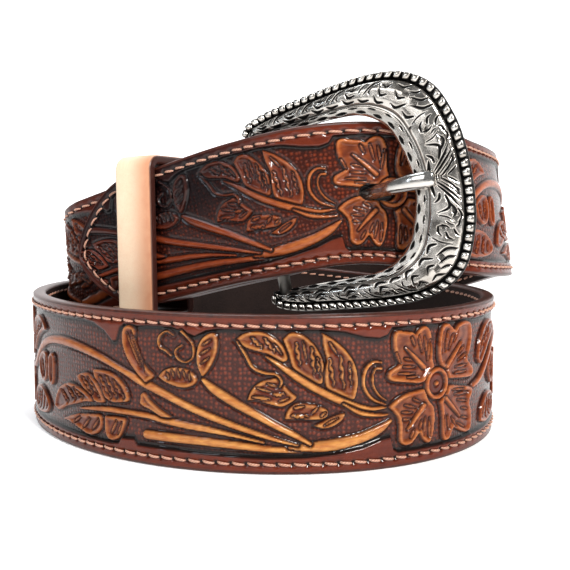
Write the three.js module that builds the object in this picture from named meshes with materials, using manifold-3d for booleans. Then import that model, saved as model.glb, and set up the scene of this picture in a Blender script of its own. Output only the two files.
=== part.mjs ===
// Western tooled belt, buckled and laid on its edge in a coil of two turns.
// Millimetres, +Z up. The camera side of the coil is -Y, and the strap runs clockwise seen from above:
// from the buckle's bar to the left, twice round, and back through the buckle to its pointed tip.
import * as THREE from 'three';
import { mergeVertices } from 'three/addons/utils/BufferGeometryUtils.js';
import Module from 'manifold-3d';

const wasm = await Module();
wasm.setup();

// Strap
const STRAP_WIDTH = 38;
const STRAP_THICKNESS = 3.8;
const STRAP_EDGE = 0.8; // bevel of the burnished edge
const STATION_STEP = 7; // spacing of the cross-sections along the strap
const TIP_REACH = 62; // from the bar to the point of the strap's free end
const TIP_TAPER = 20; // length of the pointed end
const TIP_POWER = 1.5; // 1 is a straight-sided point, 2 a half ellipse
const TIP_BLUNT = 0.4; // the last cross-section stands this far from the point
const LAYER_GAP = 1.6; // between the free end and the strap under it, room for a screw's head
const FOLD_LENGTH = 58; // turned-back end of the strap behind the bar
const FOLD_TAPER = 16; // length over which the fold closes up beyond the bar
const FOLD_GAP = 0.3;
const STACK_LENGTH = 62.5; // straight stretch of the layers left of the bar

// Coil
const COIL_RADIUS = 71.6; // mean radius of the lower turn's outer face
const COIL_OVAL = 0.063; // how far the lower turn is from round
const COIL_SLEW = 32.4; // degrees, direction of the oval
const RING_START = -2; // degrees round the oval where the strap comes to lie flat on its edge
const RING_END = -232; // degrees round the oval where it starts to climb
const BEND_PULL = 0.37; // handle of a bend as a share of its chord

// Buckle
const BAR_RADIUS = 1.75;
const BAR_CLEARANCE = 1.05;
const BUCKLE_REACH = 56.5; // from the bar's axis to the far edge of the frame
const LEG_CLEARANCE = 2.3; // between the strap's edge and a leg
const LEG_WIDTH = 8.9; // widest place of a leg
const BUCKLE_SWING = 10; // degrees between the stack of straps and the frame, seen from above
const BUCKLE_ROLL = 2; // degrees by which the frame rises less steeply than the stack
const BUCKLE_DROP = 1.4; // the frame hangs this much lower than the strap's middle
const ARCH_RISE = 4.6; // height of the frame's arch over the bar
const CAST_BACK = 1.8; // solid metal behind the frame's middle surface
const CAST_RELIEF = 2.2; // height of the front above the middle surface
const BACK_SHARE = 0.8; // of the rim's width and the back's depth, where the back meets the rim
const BAR_SEAT = 0.35; // share of a leg's width that the bar runs into
const ROPE_WIDTH = 2.4; // beaded rope rim
const ROPE_PITCH = 2.45; // one bead
const ROPE_DIP = 0.68; // height of the rim between two beads, as a share of a bead's
const PRONG_CLEARANCE = 0.35;
const PRONG_WIDTH = 4.4;
const PRONG_THICKNESS = 3.3;
const PRONG_LENGTH = 47; // from the bar's axis to the prong's tip
const PRONG_LOOP = 2.4; // wall of the prong's loop round the bar
const PRONG_SIDES = 8;
const SLOT_CLEARANCE = 1.1; // each side of the prong's loop in the strap's slot
const SLOT_LENGTH = 13; // of the slot on each side of the bar

// Keeper loop and the two screws that hold the fold
const KEEPER_WIDTH = 13;
const KEEPER_THICKNESS = 2.9;
const KEEPER_PLACE = 37.2; // from the bar to the keeper's middle
const KEEPER_SKEW = 12.5; // degrees
const KEEPER_CLEARANCE = 0.5;
const KEEPER_CORNER = 1.4; // inner corner radius
const SCREW_RADIUS = 2;
const SCREW_HEAD_RADIUS = 4;
const SCREW_HEAD = 1;
const SCREW_GAP = 3.2; // between a screw's head and the keeper
const SCREW_CLEARANCE = 0.3;

// Knots of the route before and after the lower turn. across and deep are shares of COIL_RADIUS,
// heading is the direction of travel in degrees, lift the lower edge's height as a share of
// STRAP_WIDTH, lean the degrees that the strap's top leans inwards, and layers the number of strap
// layers by which the knot lies outside that place.
const BAR_KNOT = { across: -0.036, deep: -0.542, heading: 147.5, lift: 1.14, lean: -1 };
const KEEPER_KNOT = { lift: 0.91, lean: 1 };
const STACK_END_KNOT = { lift: 0.73, lean: 1 };
const TIP_KNOT = { lift: 0.76, lean: 2 };
const DESCENT = [
  { across: -0.93, deep: 0.217, heading: 91, lift: 0.58, lean: 0, layers: -0.8 },
  { across: -0.72, deep: 0.762, heading: 43, lift: 0.33, lean: 0, layers: -0.8 },
  { across: 0.028, deep: 1.03, heading: -3, lift: 0.1, lean: 0, layers: -0.8 },
];
const ASCENT = [
  { across: -0.455, deep: 0.928, heading: 33, lift: 0.12, lean: 0, layers: 0.6 },
  { across: 0.112, deep: 1.075, heading: 0, lift: 0.42, lean: 1, layers: 0.6 },
  { across: 0.922, deep: 0.894, heading: -38, lift: 0.8, lean: 4, layers: 0 },
  { across: 1.135, deep: 0.419, heading: -90, lift: 1.03, lean: 9, layers: 0 },
  { across: 0.862, deep: -0.401, heading: -129, lift: 1.16, lean: 7, layers: 0 },
];
// Where the strap passes behind the rest end: along and out are shares of BUCKLE_REACH from the bar.
const REST_KNOT = { along: 0.495, out: 0.043, heading: -182, lift: 1.26, lean: 2 };

// Half of the frame's outline, from a leg's end to the rest: along as a share of BUCKLE_REACH,
// half as a share of the half height of the frame (outer) or of its opening (inner).
const OUTLINE = [
  { outerAlong: -0.088, outerHalf: 0.775, innerAlong: -0.055, innerHalf: 1.0 },
  { outerAlong: -0.045, outerHalf: 0.87, innerAlong: 0.0, innerHalf: 1.0 },
  { outerAlong: 0.07, outerHalf: 0.93, innerAlong: 0.08, innerHalf: 1.0 },
  { outerAlong: 0.27, outerHalf: 0.967, innerAlong: 0.24, innerHalf: 1.0 },
  { outerAlong: 0.48, outerHalf: 0.997, innerAlong: 0.4, innerHalf: 1.0 },
  { outerAlong: 0.65, outerHalf: 1.0, innerAlong: 0.53, innerHalf: 0.967 },
  { outerAlong: 0.795, outerHalf: 0.941, innerAlong: 0.615, innerHalf: 0.853 },
  { outerAlong: 0.906, outerHalf: 0.778, innerAlong: 0.672, innerHalf: 0.692 },
  { outerAlong: 0.971, outerHalf: 0.49, innerAlong: 0.711, innerHalf: 0.427 },
  { outerAlong: 0.995, outerHalf: 0.229, innerAlong: 0.732, innerHalf: 0.19 },
  { outerAlong: 1.0, outerHalf: 0.0, innerAlong: 0.738, innerHalf: 0.0 },
];

// Arch of the frame's middle surface: along as a share of BUCKLE_REACH, rise of ARCH_RISE.
const ARCH = [
  { along: -0.1, rise: -0.08 },
  { along: 0.0, rise: 0.0 },
  { along: 0.25, rise: 0.5 },
  { along: 0.5, rise: 0.9 },
  { along: 0.7, rise: 1.0 },
  { along: 0.88, rise: 0.87 },
  { along: 1.0, rise: 0.65 },
];

// Section of the casting from the inner edge outwards: field is a share of the width inside the
// rope rim, rim a share of ROPE_WIDTH, rise a share of CAST_RELIEF.
const CAST_FRONT = [
  { field: 0.0, rim: 0, rise: 0.05 },
  { field: 0.05, rim: 0, rise: 0.42 },
  { field: 0.24, rim: 0, rise: 0.55 },
  { field: 0.28, rim: 0, rise: 0.4 },
  { field: 0.33, rim: 0, rise: 0.82 },
  { field: 0.48, rim: 0, rise: 0.97 },
  { field: 0.72, rim: 0, rise: 1.0 },
  { field: 0.93, rim: 0, rise: 0.75 },
  { field: 1.0, rim: 0, rise: 0.35 },
];
const CAST_ROPE = [
  { rim: 0.3, rise: 0.85 },
  { rim: 0.7, rise: 0.8 },
  { rim: 1.0, rise: 0.2 },
];

// Prong: along as a share of PRONG_LENGTH, rise as a share of ARCH_RISE, width and thick as shares
// of PRONG_WIDTH and PRONG_THICKNESS.
const PRONG = [
  { along: 0.062, rise: 0.0, width: 0.95, thick: 0.62 },
  { along: 0.17, rise: -0.2, width: 0.82, thick: 0.72 },
  { along: 0.34, rise: -0.48, width: 0.75, thick: 0.78 },
  { along: 0.49, rise: -0.5, width: 0.73, thick: 0.82 },
  { along: 0.59, rise: -0.12, width: 0.75, thick: 0.85 },
  { along: 0.68, rise: 0.55, width: 0.8, thick: 0.88 },
  { along: 0.78, rise: 1.26, width: 0.89, thick: 0.94 },
  { along: 0.88, rise: 1.62, width: 0.98, thick: 1.0 },
  { along: 0.955, rise: 1.68, width: 1.0, thick: 1.0 },
  { along: 1.0, rise: 1.66, width: 0.9, thick: 0.8 },
];
const PRONG_STEPS = 26;
const CORNER_REACH = 1 / Math.cos(Math.PI / PRONG_SIDES); // of a rod's corner beyond its flats

const LAYER = STRAP_THICKNESS + LAYER_GAP;
const HALF_WIDTH = STRAP_WIDTH / 2;
const WRAP_RADIUS = BAR_RADIUS + BAR_CLEARANCE + STRAP_THICKNESS;
const SCREW_REACH = KEEPER_WIDTH / 2 + SCREW_GAP + SCREW_HEAD_RADIUS;
const SCREW_PLACES = [KEEPER_PLACE - SCREW_REACH, KEEPER_PLACE + SCREW_REACH]; // from the bar
const OPENING_HALF = HALF_WIDTH + LEG_CLEARANCE;
const FRAME_HALF = OPENING_HALF + LEG_WIDTH;
const UP = new THREE.Vector3(0, 0, 1);
const { degToRad, smoothstep } = THREE.MathUtils;

// Value of one column of a table at x, on a smooth curve that never overshoots its rows.
function readTable(rows, key, column, x) {
  const xs = rows.map((row) => row[key]);
  const ys = rows.map((row) => row[column]);
  const last = xs.length - 1;
  const secants = xs.slice(1).map((value, i) => (ys[i + 1] - ys[i]) / (value - xs[i]));
  const slopes = ys.map((value, i) => {
    if (i === 0) return secants[0];
    if (i === last) return secants[last - 1];
    const product = secants[i - 1] * secants[i];
    return product > 0 ? (2 * product) / (secants[i - 1] + secants[i]) : 0;
  });
  const at = Math.min(Math.max(x, xs[0]), xs[last]);
  let i = 0;
  while (i < last - 1 && at > xs[i + 1]) i += 1;
  const h = xs[i + 1] - xs[i];
  const t = (at - xs[i]) / h;
  const ease = t * t * (3 - 2 * t);
  const leave = t * (1 - t) * (1 - t) * slopes[i];
  const arrive = t * t * (t - 1) * slopes[i + 1];
  return ys[i] + (ys[i + 1] - ys[i]) * ease + h * (leave + arrive);
}

function heading(degrees) {
  return new THREE.Vector2(Math.cos(degToRad(degrees)), Math.sin(degToRad(degrees)));
}

// Direction to the coil's outside for a strap that travels clockwise.
function outside(direction) {
  return new THREE.Vector2(direction.y, -direction.x).negate();
}

// The knots' places in plan, each with its direction of travel.
function planKnot(row) {
  const direction = heading(row.heading);
  const place = new THREE.Vector2(row.across, row.deep).multiplyScalar(COIL_RADIUS);
  place.addScaledVector(outside(direction), row.layers * LAYER);
  return { ...row, place, direction };
}

function bend(from, to) {
  const pull = BEND_PULL * from.place.distanceTo(to.place);
  return new THREE.CubicBezierCurve(
    from.place,
    from.place.clone().addScaledVector(from.direction, pull),
    to.place.clone().addScaledVector(to.direction, -pull),
    to.place,
  );
}

// Route of the strap's outer face in plan, with the knots' lift and lean by distance from the bar.
function makeRoute() {
  const barDirection = heading(BAR_KNOT.heading);
  const away = outside(barDirection);
  const tipStart = new THREE.Vector2(BAR_KNOT.across, BAR_KNOT.deep).multiplyScalar(COIL_RADIUS);
  const start = tipStart.clone().addScaledVector(away, -LAYER);
  const along = (origin, distance) => origin.clone().addScaledVector(barDirection, distance);
  const straight = (row, origin, distance) => (
    { ...row, place: along(origin, distance), direction: barDirection }
  );
  const ring = new THREE.EllipseCurve(
    0, 0, COIL_RADIUS * (1 - COIL_OVAL), COIL_RADIUS * (1 + COIL_OVAL),
    degToRad(RING_START), degToRad(RING_END), true, degToRad(COIL_SLEW),
  );
  const ringKnot = (t) => (
    { place: ring.getPoint(t), direction: ring.getTangent(t), lift: 0, lean: 0 }
  );
  const frameWay = heading(BAR_KNOT.heading + BUCKLE_SWING).negate();
  const restPlace = start.clone()
    .addScaledVector(away, -WRAP_RADIUS)
    .addScaledVector(frameWay, REST_KNOT.along * BUCKLE_REACH)
    .addScaledVector(outside(frameWay).negate(), REST_KNOT.out * BUCKLE_REACH);
  const restKnot = { ...REST_KNOT, place: restPlace, direction: heading(REST_KNOT.heading) };
  const before = [
    straight(BAR_KNOT, start, 0),
    straight(KEEPER_KNOT, start, KEEPER_PLACE),
    straight(STACK_END_KNOT, start, STACK_LENGTH),
    ...DESCENT.map(planKnot),
    ringKnot(0),
  ];
  const after = [
    ringKnot(1),
    ...ASCENT.map(planKnot),
    restKnot,
    straight(BAR_KNOT, tipStart, 0),
    straight(KEEPER_KNOT, tipStart, KEEPER_PLACE),
    straight(TIP_KNOT, tipStart, TIP_REACH),
  ];
  const curve = new THREE.CurvePath();
  const levels = [];
  const lay = (knots) => knots.forEach((knot, i) => {
    levels.push({ distance: curve.curves.length ? curve.getLength() : 0, lift: knot.lift, lean: knot.lean });
    if (i < knots.length - 1) curve.add(bend(knot, knots[i + 1]));
    curve.cacheLengths = null;
  });
  lay(before);
  curve.add(ring);
  curve.cacheLengths = null;
  lay(after);
  return { curve, levels, length: curve.getLength() };
}

const route = makeRoute();

// Middle of the strap's outer face at a distance along the route.
function facePoint(distance) {
  const plan = route.curve.getPoint(distance / route.length);
  const lift = readTable(route.levels, 'distance', 'lift', distance);
  const lean = degToRad(readTable(route.levels, 'distance', 'lean', distance));
  return new THREE.Vector3(plan.x, plan.y, lift * STRAP_WIDTH + HALF_WIDTH * Math.cos(lean));
}

// Place and axes of the strap: along (travel), up (across its width) and out (its outer face).
function strapFrame(distance) {
  const step = 0.5;
  const low = Math.max(distance - step, 0);
  const high = Math.min(distance + step, route.length);
  const along = facePoint(high).sub(facePoint(low)).normalize();
  const lean = degToRad(readTable(route.levels, 'distance', 'lean', distance));
  const level = UP.clone().cross(along).normalize();
  const upright = along.clone().cross(level).normalize();
  const up = upright.multiplyScalar(Math.cos(lean)).addScaledVector(level, -Math.sin(lean));
  const out = up.clone().cross(along).normalize();
  return { place: facePoint(distance), along, up, out };
}

// Makes a triangle mesh's faces point outwards.
function faceOutwards(positions, triangles) {
  let volume = 0;
  for (const [a, b, c] of triangles) {
    volume += positions[a].dot(positions[b].clone().cross(positions[c]));
  }
  const ordered = volume < 0 ? triangles.map(([a, b, c]) => [a, c, b]) : triangles;
  const geometry = new THREE.BufferGeometry();
  geometry.setAttribute('position', new THREE.Float32BufferAttribute(
    positions.flatMap((p) => [p.x, p.y, p.z]),
    3,
  ));
  geometry.setIndex(ordered.flat());
  return geometry;
}

// Skin over a row of cross-sections with as many points each, closed by a fan at both ends.
function loft(sections) {
  const count = sections[0].length;
  const positions = sections.flat();
  const triangles = [];
  for (let s = 0; s < sections.length - 1; s += 1) {
    for (let i = 0; i < count; i += 1) {
      const a = s * count + i;
      const b = s * count + ((i + 1) % count);
      triangles.push([a, b, b + count], [a, b + count, a + count]);
    }
  }
  const close = (first, turned) => {
    const centre = new THREE.Vector3();
    for (let i = 0; i < count; i += 1) centre.addScaledVector(positions[first + i], 1 / count);
    positions.push(centre);
    for (let i = 0; i < count; i += 1) {
      const a = first + i;
      const b = first + ((i + 1) % count);
      triangles.push(turned ? [b, a, positions.length - 1] : [a, b, positions.length - 1]);
    }
  };
  close(0, true);
  close((sections.length - 1) * count, false);
  return faceOutwards(positions, triangles);
}

function toSolid(geometry) {
  const bare = geometry.clone();
  bare.deleteAttribute('normal');
  bare.deleteAttribute('uv');
  const merged = mergeVertices(bare, 1e-4);
  return new wasm.Manifold(new wasm.Mesh({
    numProp: 3,
    vertProperties: new Float32Array(merged.attributes.position.array),
    triVerts: new Uint32Array(merged.index.array),
  }));
}

function toGeometry(solid) {
  const mesh = solid.getMesh();
  const geometry = new THREE.BufferGeometry();
  geometry.setAttribute('position', new THREE.BufferAttribute(mesh.vertProperties, mesh.numProp));
  geometry.setIndex(new THREE.BufferAttribute(mesh.triVerts, 1));
  return geometry;
}

// Bevelled cross-section of the strap, halfWidth to each side, behind the outer face.
function strapSection({ place, up, out }, halfWidth) {
  const edge = Math.min(STRAP_EDGE, halfWidth / 2);
  const back = STRAP_THICKNESS;
  const corners = [
    [halfWidth - edge, 0], [halfWidth, edge], [halfWidth, back - edge], [halfWidth - edge, back],
    [edge - halfWidth, back], [-halfWidth, back - edge], [-halfWidth, edge], [edge - halfWidth, 0],
  ];
  return corners.map(([across, deep]) => (
    place.clone().addScaledVector(up, across).addScaledVector(out, -deep)
  ));
}

// Half width of the free end at a distance before its point.
function tipHalfWidth(before) {
  const share = Math.max(0, 1 - before / TIP_TAPER);
  return HALF_WIDTH * (1 - share ** TIP_POWER) ** (1 / TIP_POWER);
}

// Distance behind the first strand's outer face at which the folded end's own face lies.
function foldDepth(distance) {
  const open = 2 * WRAP_RADIUS;
  const closed = 2 * STRAP_THICKNESS + FOLD_GAP;
  return open + (closed - open) * smoothstep(distance, 0, FOLD_TAPER);
}

// Frame of the folded end, which travels towards the bar with its face to the coil's inside.
function foldFrame(distance) {
  const step = 0.5;
  const base = strapFrame(distance);
  const rise = (foldDepth(distance + step) - foldDepth(distance - step)) / (2 * step);
  const along = base.along.clone().negate().addScaledVector(base.out, rise).normalize();
  const place = base.place.clone().addScaledVector(base.out, -foldDepth(distance));
  return { place, along, up: base.up, out: base.up.clone().cross(along).normalize() };
}

// Axes of the buckle: x from the bar to the rest end, y up along the bar, z out of the frame.
function makeBuckleAxes() {
  const base = strapFrame(0);
  const centre = base.place.clone()
    .addScaledVector(base.out, -WRAP_RADIUS)
    .addScaledVector(base.up, -BUCKLE_DROP);
  const swing = degToRad(BUCKLE_SWING);
  const out = base.out.clone().applyAxisAngle(base.up, swing);
  const roll = -degToRad(BUCKLE_ROLL);
  const right = base.along.clone().negate().applyAxisAngle(base.up, swing).applyAxisAngle(out, roll);
  const up = base.up.clone().applyAxisAngle(out, roll);
  return new THREE.Matrix4().makeBasis(right, up, out).setPosition(centre);
}

const buckleAxes = makeBuckleAxes();

function wrapFrame(degrees) {
  const base = strapFrame(0);
  const centre = base.place.clone().addScaledVector(base.out, -WRAP_RADIUS);
  const turn = degToRad(degrees);
  const out = base.out.clone().applyAxisAngle(base.up, turn);
  return { place: centre.addScaledVector(out, WRAP_RADIUS), up: base.up, out };
}

function range(from, to, steps) {
  return Array.from({ length: steps + 1 }, (value, i) => from + ((to - from) * i) / steps);
}

// The whole strap: folded end, wrap round the bar, two turns and the free end with its point.
function makeStrapBody() {
  const wrapSteps = 8;
  const taperSteps = 8;
  const full = (frame) => strapSection(frame, HALF_WIDTH);
  const fold = [
    ...range(FOLD_LENGTH, FOLD_TAPER, Math.ceil((FOLD_LENGTH - FOLD_TAPER) / STATION_STEP)),
    ...range(FOLD_TAPER, 0, taperSteps).slice(1, -1),
  ].map((distance) => full(foldFrame(distance)));
  const wrap = range(180, 0, wrapSteps).slice(0, -1).map((degrees) => full(wrapFrame(degrees)));
  const taperStart = route.length - TIP_TAPER;
  const turns = range(0, taperStart, Math.ceil(taperStart / STATION_STEP))
    .map((distance) => full(strapFrame(distance)));
  const tip = range(1, 0, taperSteps).slice(1).map((share) => {
    const before = TIP_BLUNT + (TIP_TAPER - TIP_BLUNT) * share * share;
    return strapSection(strapFrame(route.length - before), tipHalfWidth(before));
  });
  return loft([...fold, ...wrap, ...turns, ...tip]);
}

function place(geometry, matrix) {
  return geometry.applyMatrix4(matrix);
}

// Prong rod with its section grown by a clearance on every side.
function makeProngRod(clearance) {
  const spine = new THREE.CatmullRomCurve3(PRONG.map((row) => (
    new THREE.Vector3(row.along * PRONG_LENGTH, 0, row.rise * ARCH_RISE)
  )));
  const sections = range(0, 1, PRONG_STEPS).map((t) => {
    const middle = spine.getPoint(t);
    const forward = spine.getTangent(t);
    const face = new THREE.Vector3(-forward.z, 0, forward.x);
    const index = t * (PRONG.length - 1);
    const rows = PRONG.map((row, i) => ({ ...row, index: i }));
    const halfWidth = (readTable(rows, 'index', 'width', index) * PRONG_WIDTH) / 2 + clearance;
    const halfThick = (readTable(rows, 'index', 'thick', index) * PRONG_THICKNESS) / 2 + clearance;
    const overhang = t === 0 || t === 1 ? clearance * Math.sign(t - 0.5) : 0;
    return range(0, PRONG_SIDES - 1, PRONG_SIDES - 1).map((i) => {
      const angle = ((2 * Math.PI) / PRONG_SIDES) * (i + 0.5);
      return middle.clone()
        .addScaledVector(forward, overhang)
        .add(new THREE.Vector3(0, Math.cos(angle) * halfWidth * CORNER_REACH, 0))
        .addScaledVector(face, Math.sin(angle) * halfThick * CORNER_REACH);
    });
  });
  return loft(sections);
}

// Ring of square section round the bar, its axis along y.
function makeBarRing(inner, outer, width) {
  const profile = [
    new THREE.Vector2(inner, -width / 2), new THREE.Vector2(outer, -width / 2),
    new THREE.Vector2(outer, width / 2), new THREE.Vector2(inner, width / 2),
    new THREE.Vector2(inner, -width / 2),
  ];
  return new THREE.LatheGeometry(profile, 20);
}

function makeProng() {
  const inner = BAR_RADIUS + PRONG_CLEARANCE;
  const loop = makeBarRing(inner, inner + PRONG_LOOP, PRONG_WIDTH);
  return place(toGeometry(toSolid(makeProngRod(0)).add(toSolid(loop))), buckleAxes);
}

// Box in the buckle's axes from one corner to the other.
function makeBox(low, high) {
  const size = high.clone().sub(low);
  const centre = low.clone().add(high).multiplyScalar(0.5);
  return new THREE.BoxGeometry(size.x, size.y, size.z).translate(centre.x, centre.y, centre.z);
}

// Slot in the folded strap for the prong's loop; it stops short of the free end that lies over it.
function makeProngSlot() {
  const half = PRONG_WIDTH / 2 + SLOT_CLEARANCE;
  const reach = WRAP_RADIUS + LAYER_GAP / 2;
  return makeBox(
    new THREE.Vector3(-SLOT_LENGTH, -half, -reach),
    new THREE.Vector3(reach + 1, half, reach),
  );
}

function screwAxes(distance) {
  const { place: point, along, up, out } = strapFrame(distance);
  return new THREE.Matrix4().makeBasis(along, out, up).setPosition(point);
}

// Lathed post with a head in front of the first strand and one behind the fold.
function makeScrew(distance) {
  const back = 2 * STRAP_THICKNESS + FOLD_GAP;
  const profile = [
    [0, -back - FOLD_GAP - SCREW_HEAD], [SCREW_HEAD_RADIUS, -back - FOLD_GAP - SCREW_HEAD],
    [SCREW_HEAD_RADIUS, -back - FOLD_GAP], [SCREW_RADIUS, -back - FOLD_GAP],
    [SCREW_RADIUS, FOLD_GAP], [SCREW_HEAD_RADIUS, FOLD_GAP],
    [SCREW_HEAD_RADIUS, FOLD_GAP + SCREW_HEAD], [0, FOLD_GAP + SCREW_HEAD],
  ].map(([radius, height]) => new THREE.Vector2(radius, height));
  return place(new THREE.LatheGeometry(profile, 14), screwAxes(distance));
}

function makeScrewHole(distance) {
  const length = 2 * STRAP_THICKNESS + FOLD_GAP + LAYER_GAP;
  const hole = new THREE.CylinderGeometry(
    SCREW_RADIUS + SCREW_CLEARANCE, SCREW_RADIUS + SCREW_CLEARANCE, length, 14,
  ).translate(0, LAYER_GAP / 2 - length / 2, 0);
  return place(hole, screwAxes(distance));
}

function makeStrap() {
  const slot = toSolid(place(makeProngSlot(), buckleAxes));
  const hole = toSolid(place(makeProngRod(PRONG_CLEARANCE), buckleAxes));
  const screws = SCREW_PLACES.map((distance) => toSolid(makeScrewHole(distance)));
  const cut = [slot, hole, ...screws];
  return toGeometry(cut.reduce((body, tool) => body.subtract(tool), toSolid(makeStrapBody())));
}

// Closed leather loop round all the layers.
function makeKeeper() {
  const skew = degToRad(KEEPER_SKEW);
  const slack = (HALF_WIDTH + (KEEPER_WIDTH / 2) * Math.sin(skew)) / Math.cos(skew);
  const half = slack + KEEPER_CLEARANCE;
  const front = LAYER + KEEPER_CLEARANCE;
  const back = -(2 * STRAP_THICKNESS + FOLD_GAP + KEEPER_CLEARANCE);
  const outline = (grow, path) => {
    const radius = KEEPER_CORNER + grow;
    const [left, right] = [back - grow, front + grow];
    const top = half + grow;
    path.moveTo(left + radius, -top);
    path.lineTo(right - radius, -top);
    path.absarc(right - radius, radius - top, radius, -Math.PI / 2, 0, false);
    path.absarc(right - radius, top - radius, radius, 0, Math.PI / 2, false);
    path.absarc(left + radius, top - radius, radius, Math.PI / 2, Math.PI, false);
    path.absarc(left + radius, radius - top, radius, Math.PI, Math.PI * 1.5, false);
    return path;
  };
  const shape = outline(KEEPER_THICKNESS, new THREE.Shape());
  shape.holes.push(outline(0, new THREE.Path()));
  const loop = new THREE.ExtrudeGeometry(shape, {
    depth: KEEPER_WIDTH, bevelEnabled: false, curveSegments: 5,
  }).translate(0, 0, -KEEPER_WIDTH / 2);
  const { place: point, along, up, out } = strapFrame(KEEPER_PLACE);
  const axes = new THREE.Matrix4().makeBasis(out, up, along).setPosition(point);
  return place(loop.rotateX(-skew), axes);
}

function outlineCurve(alongKey, halfKey, halfSize) {
  const lower = OUTLINE.map((row) => (
    new THREE.Vector2(row[alongKey] * BUCKLE_REACH, -row[halfKey] * halfSize)
  ));
  const upper = lower.slice(0, -1).reverse().map((point) => new THREE.Vector2(point.x, -point.y));
  return new THREE.SplineCurve([...lower, ...upper]);
}

function archRise(x) {
  return ARCH_RISE * readTable(ARCH, 'along', 'rise', x / BUCKLE_REACH);
}

// Horseshoe casting: arched, with an inner band, a domed field, a groove and a beaded rope rim.
function makeFrameBody() {
  const outer = outlineCurve('outerAlong', 'outerHalf', FRAME_HALF);
  const inner = outlineCurve('innerAlong', 'innerHalf', OPENING_HALF);
  const beads = Math.round(outer.getLength() / ROPE_PITCH);
  const sections = range(0, 2 * beads, 2 * beads).map((station) => {
    const t = outer.getUtoTmapping(station / (2 * beads));
    const from = inner.getPoint(t);
    const to = outer.getPoint(t);
    const across = to.clone().sub(from).normalize();
    const fieldWidth = from.distanceTo(to) - ROPE_WIDTH;
    const bead = station % 2 === 0 ? ROPE_DIP : 1;
    const point = (distance, height) => {
      const flat = from.clone().addScaledVector(across, distance);
      return new THREE.Vector3(flat.x, flat.y, archRise(flat.x) + height);
    };
    const front = CAST_FRONT.map((row) => point(row.field * fieldWidth, row.rise * CAST_RELIEF));
    const rope = CAST_ROPE.map((row) => (
      point(fieldWidth + row.rim * ROPE_WIDTH * (bead + 1) / 2, row.rise * CAST_RELIEF * bead)
    ));
    const backOuter = point(fieldWidth + ROPE_WIDTH * BACK_SHARE, -CAST_BACK * BACK_SHARE);
    const backInner = point(fieldWidth * 0.04, -CAST_BACK);
    return [...front, ...rope, backOuter, backInner];
  });
  return loft(sections);
}

function makeFrame() {
  const barHalf = OPENING_HALF + LEG_WIDTH * BAR_SEAT;
  const bar = new THREE.CylinderGeometry(BAR_RADIUS, BAR_RADIUS, 2 * barHalf, 20);
  const casting = toSolid(makeFrameBody()).add(toSolid(bar));
  const notch = toSolid(makeProngRod(PRONG_CLEARANCE));
  return place(toGeometry(casting.subtract(notch)), buckleAxes);
}

const tooledLeather = new THREE.MeshStandardMaterial({
  color: 0x5a2618, roughness: 0.45, metalness: 0,
});
const keeperLeather = new THREE.MeshStandardMaterial({
  color: 0xe6b48e, roughness: 0.6, metalness: 0,
});
const antiqueSilver = new THREE.MeshStandardMaterial({
  color: 0x8f8a84, roughness: 0.28, metalness: 1,
});
const prongMetal = new THREE.MeshStandardMaterial({
  color: 0xb9b5ae, roughness: 0.18, metalness: 1,
});
const screwMetal = new THREE.MeshStandardMaterial({
  color: 0x77736c, roughness: 0.4, metalness: 1,
});

const group = new THREE.Group();

function addPiece(name, geometry, material) {
  const mesh = new THREE.Mesh(geometry, material);
  mesh.name = name;
  group.add(mesh);
}

addPiece('belt_strap', makeStrap(), tooledLeather);
addPiece('keeper', makeKeeper(), keeperLeather);
addPiece('buckle_frame', makeFrame(), antiqueSilver);
addPiece('buckle_prong', makeProng(), prongMetal);
SCREW_PLACES.forEach((distance, i) => {
  addPiece(`fold_screw_${i + 1}`, makeScrew(distance), screwMetal);
});

// The origin is the middle of the belt's box, on the surface it stands on.
const box = new THREE.Box3().setFromObject(group);
const centre = box.getCenter(new THREE.Vector3());
group.position.set(-centre.x, -centre.y, -box.min.z);

export default group;
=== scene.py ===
"""Western tooled belt, buckled and standing on its edge in a coil of two turns: the looks of the part."""
import math
import bpy
import numpy as np
from mathutils import Matrix, Vector


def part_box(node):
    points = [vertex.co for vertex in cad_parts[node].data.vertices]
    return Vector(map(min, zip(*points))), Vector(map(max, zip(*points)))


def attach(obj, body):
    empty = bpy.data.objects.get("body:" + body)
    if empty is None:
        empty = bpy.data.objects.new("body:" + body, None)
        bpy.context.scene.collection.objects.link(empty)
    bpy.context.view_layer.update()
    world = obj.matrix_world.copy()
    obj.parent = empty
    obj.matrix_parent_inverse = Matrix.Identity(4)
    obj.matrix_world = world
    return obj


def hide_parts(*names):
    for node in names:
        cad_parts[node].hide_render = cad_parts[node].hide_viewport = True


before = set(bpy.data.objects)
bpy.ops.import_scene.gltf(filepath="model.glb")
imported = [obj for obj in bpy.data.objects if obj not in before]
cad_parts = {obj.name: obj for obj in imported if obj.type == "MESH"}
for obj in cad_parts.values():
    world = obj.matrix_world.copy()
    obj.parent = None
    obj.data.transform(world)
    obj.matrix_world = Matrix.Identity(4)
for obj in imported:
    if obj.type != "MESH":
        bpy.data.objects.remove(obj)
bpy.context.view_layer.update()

MM = 0.001

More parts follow.
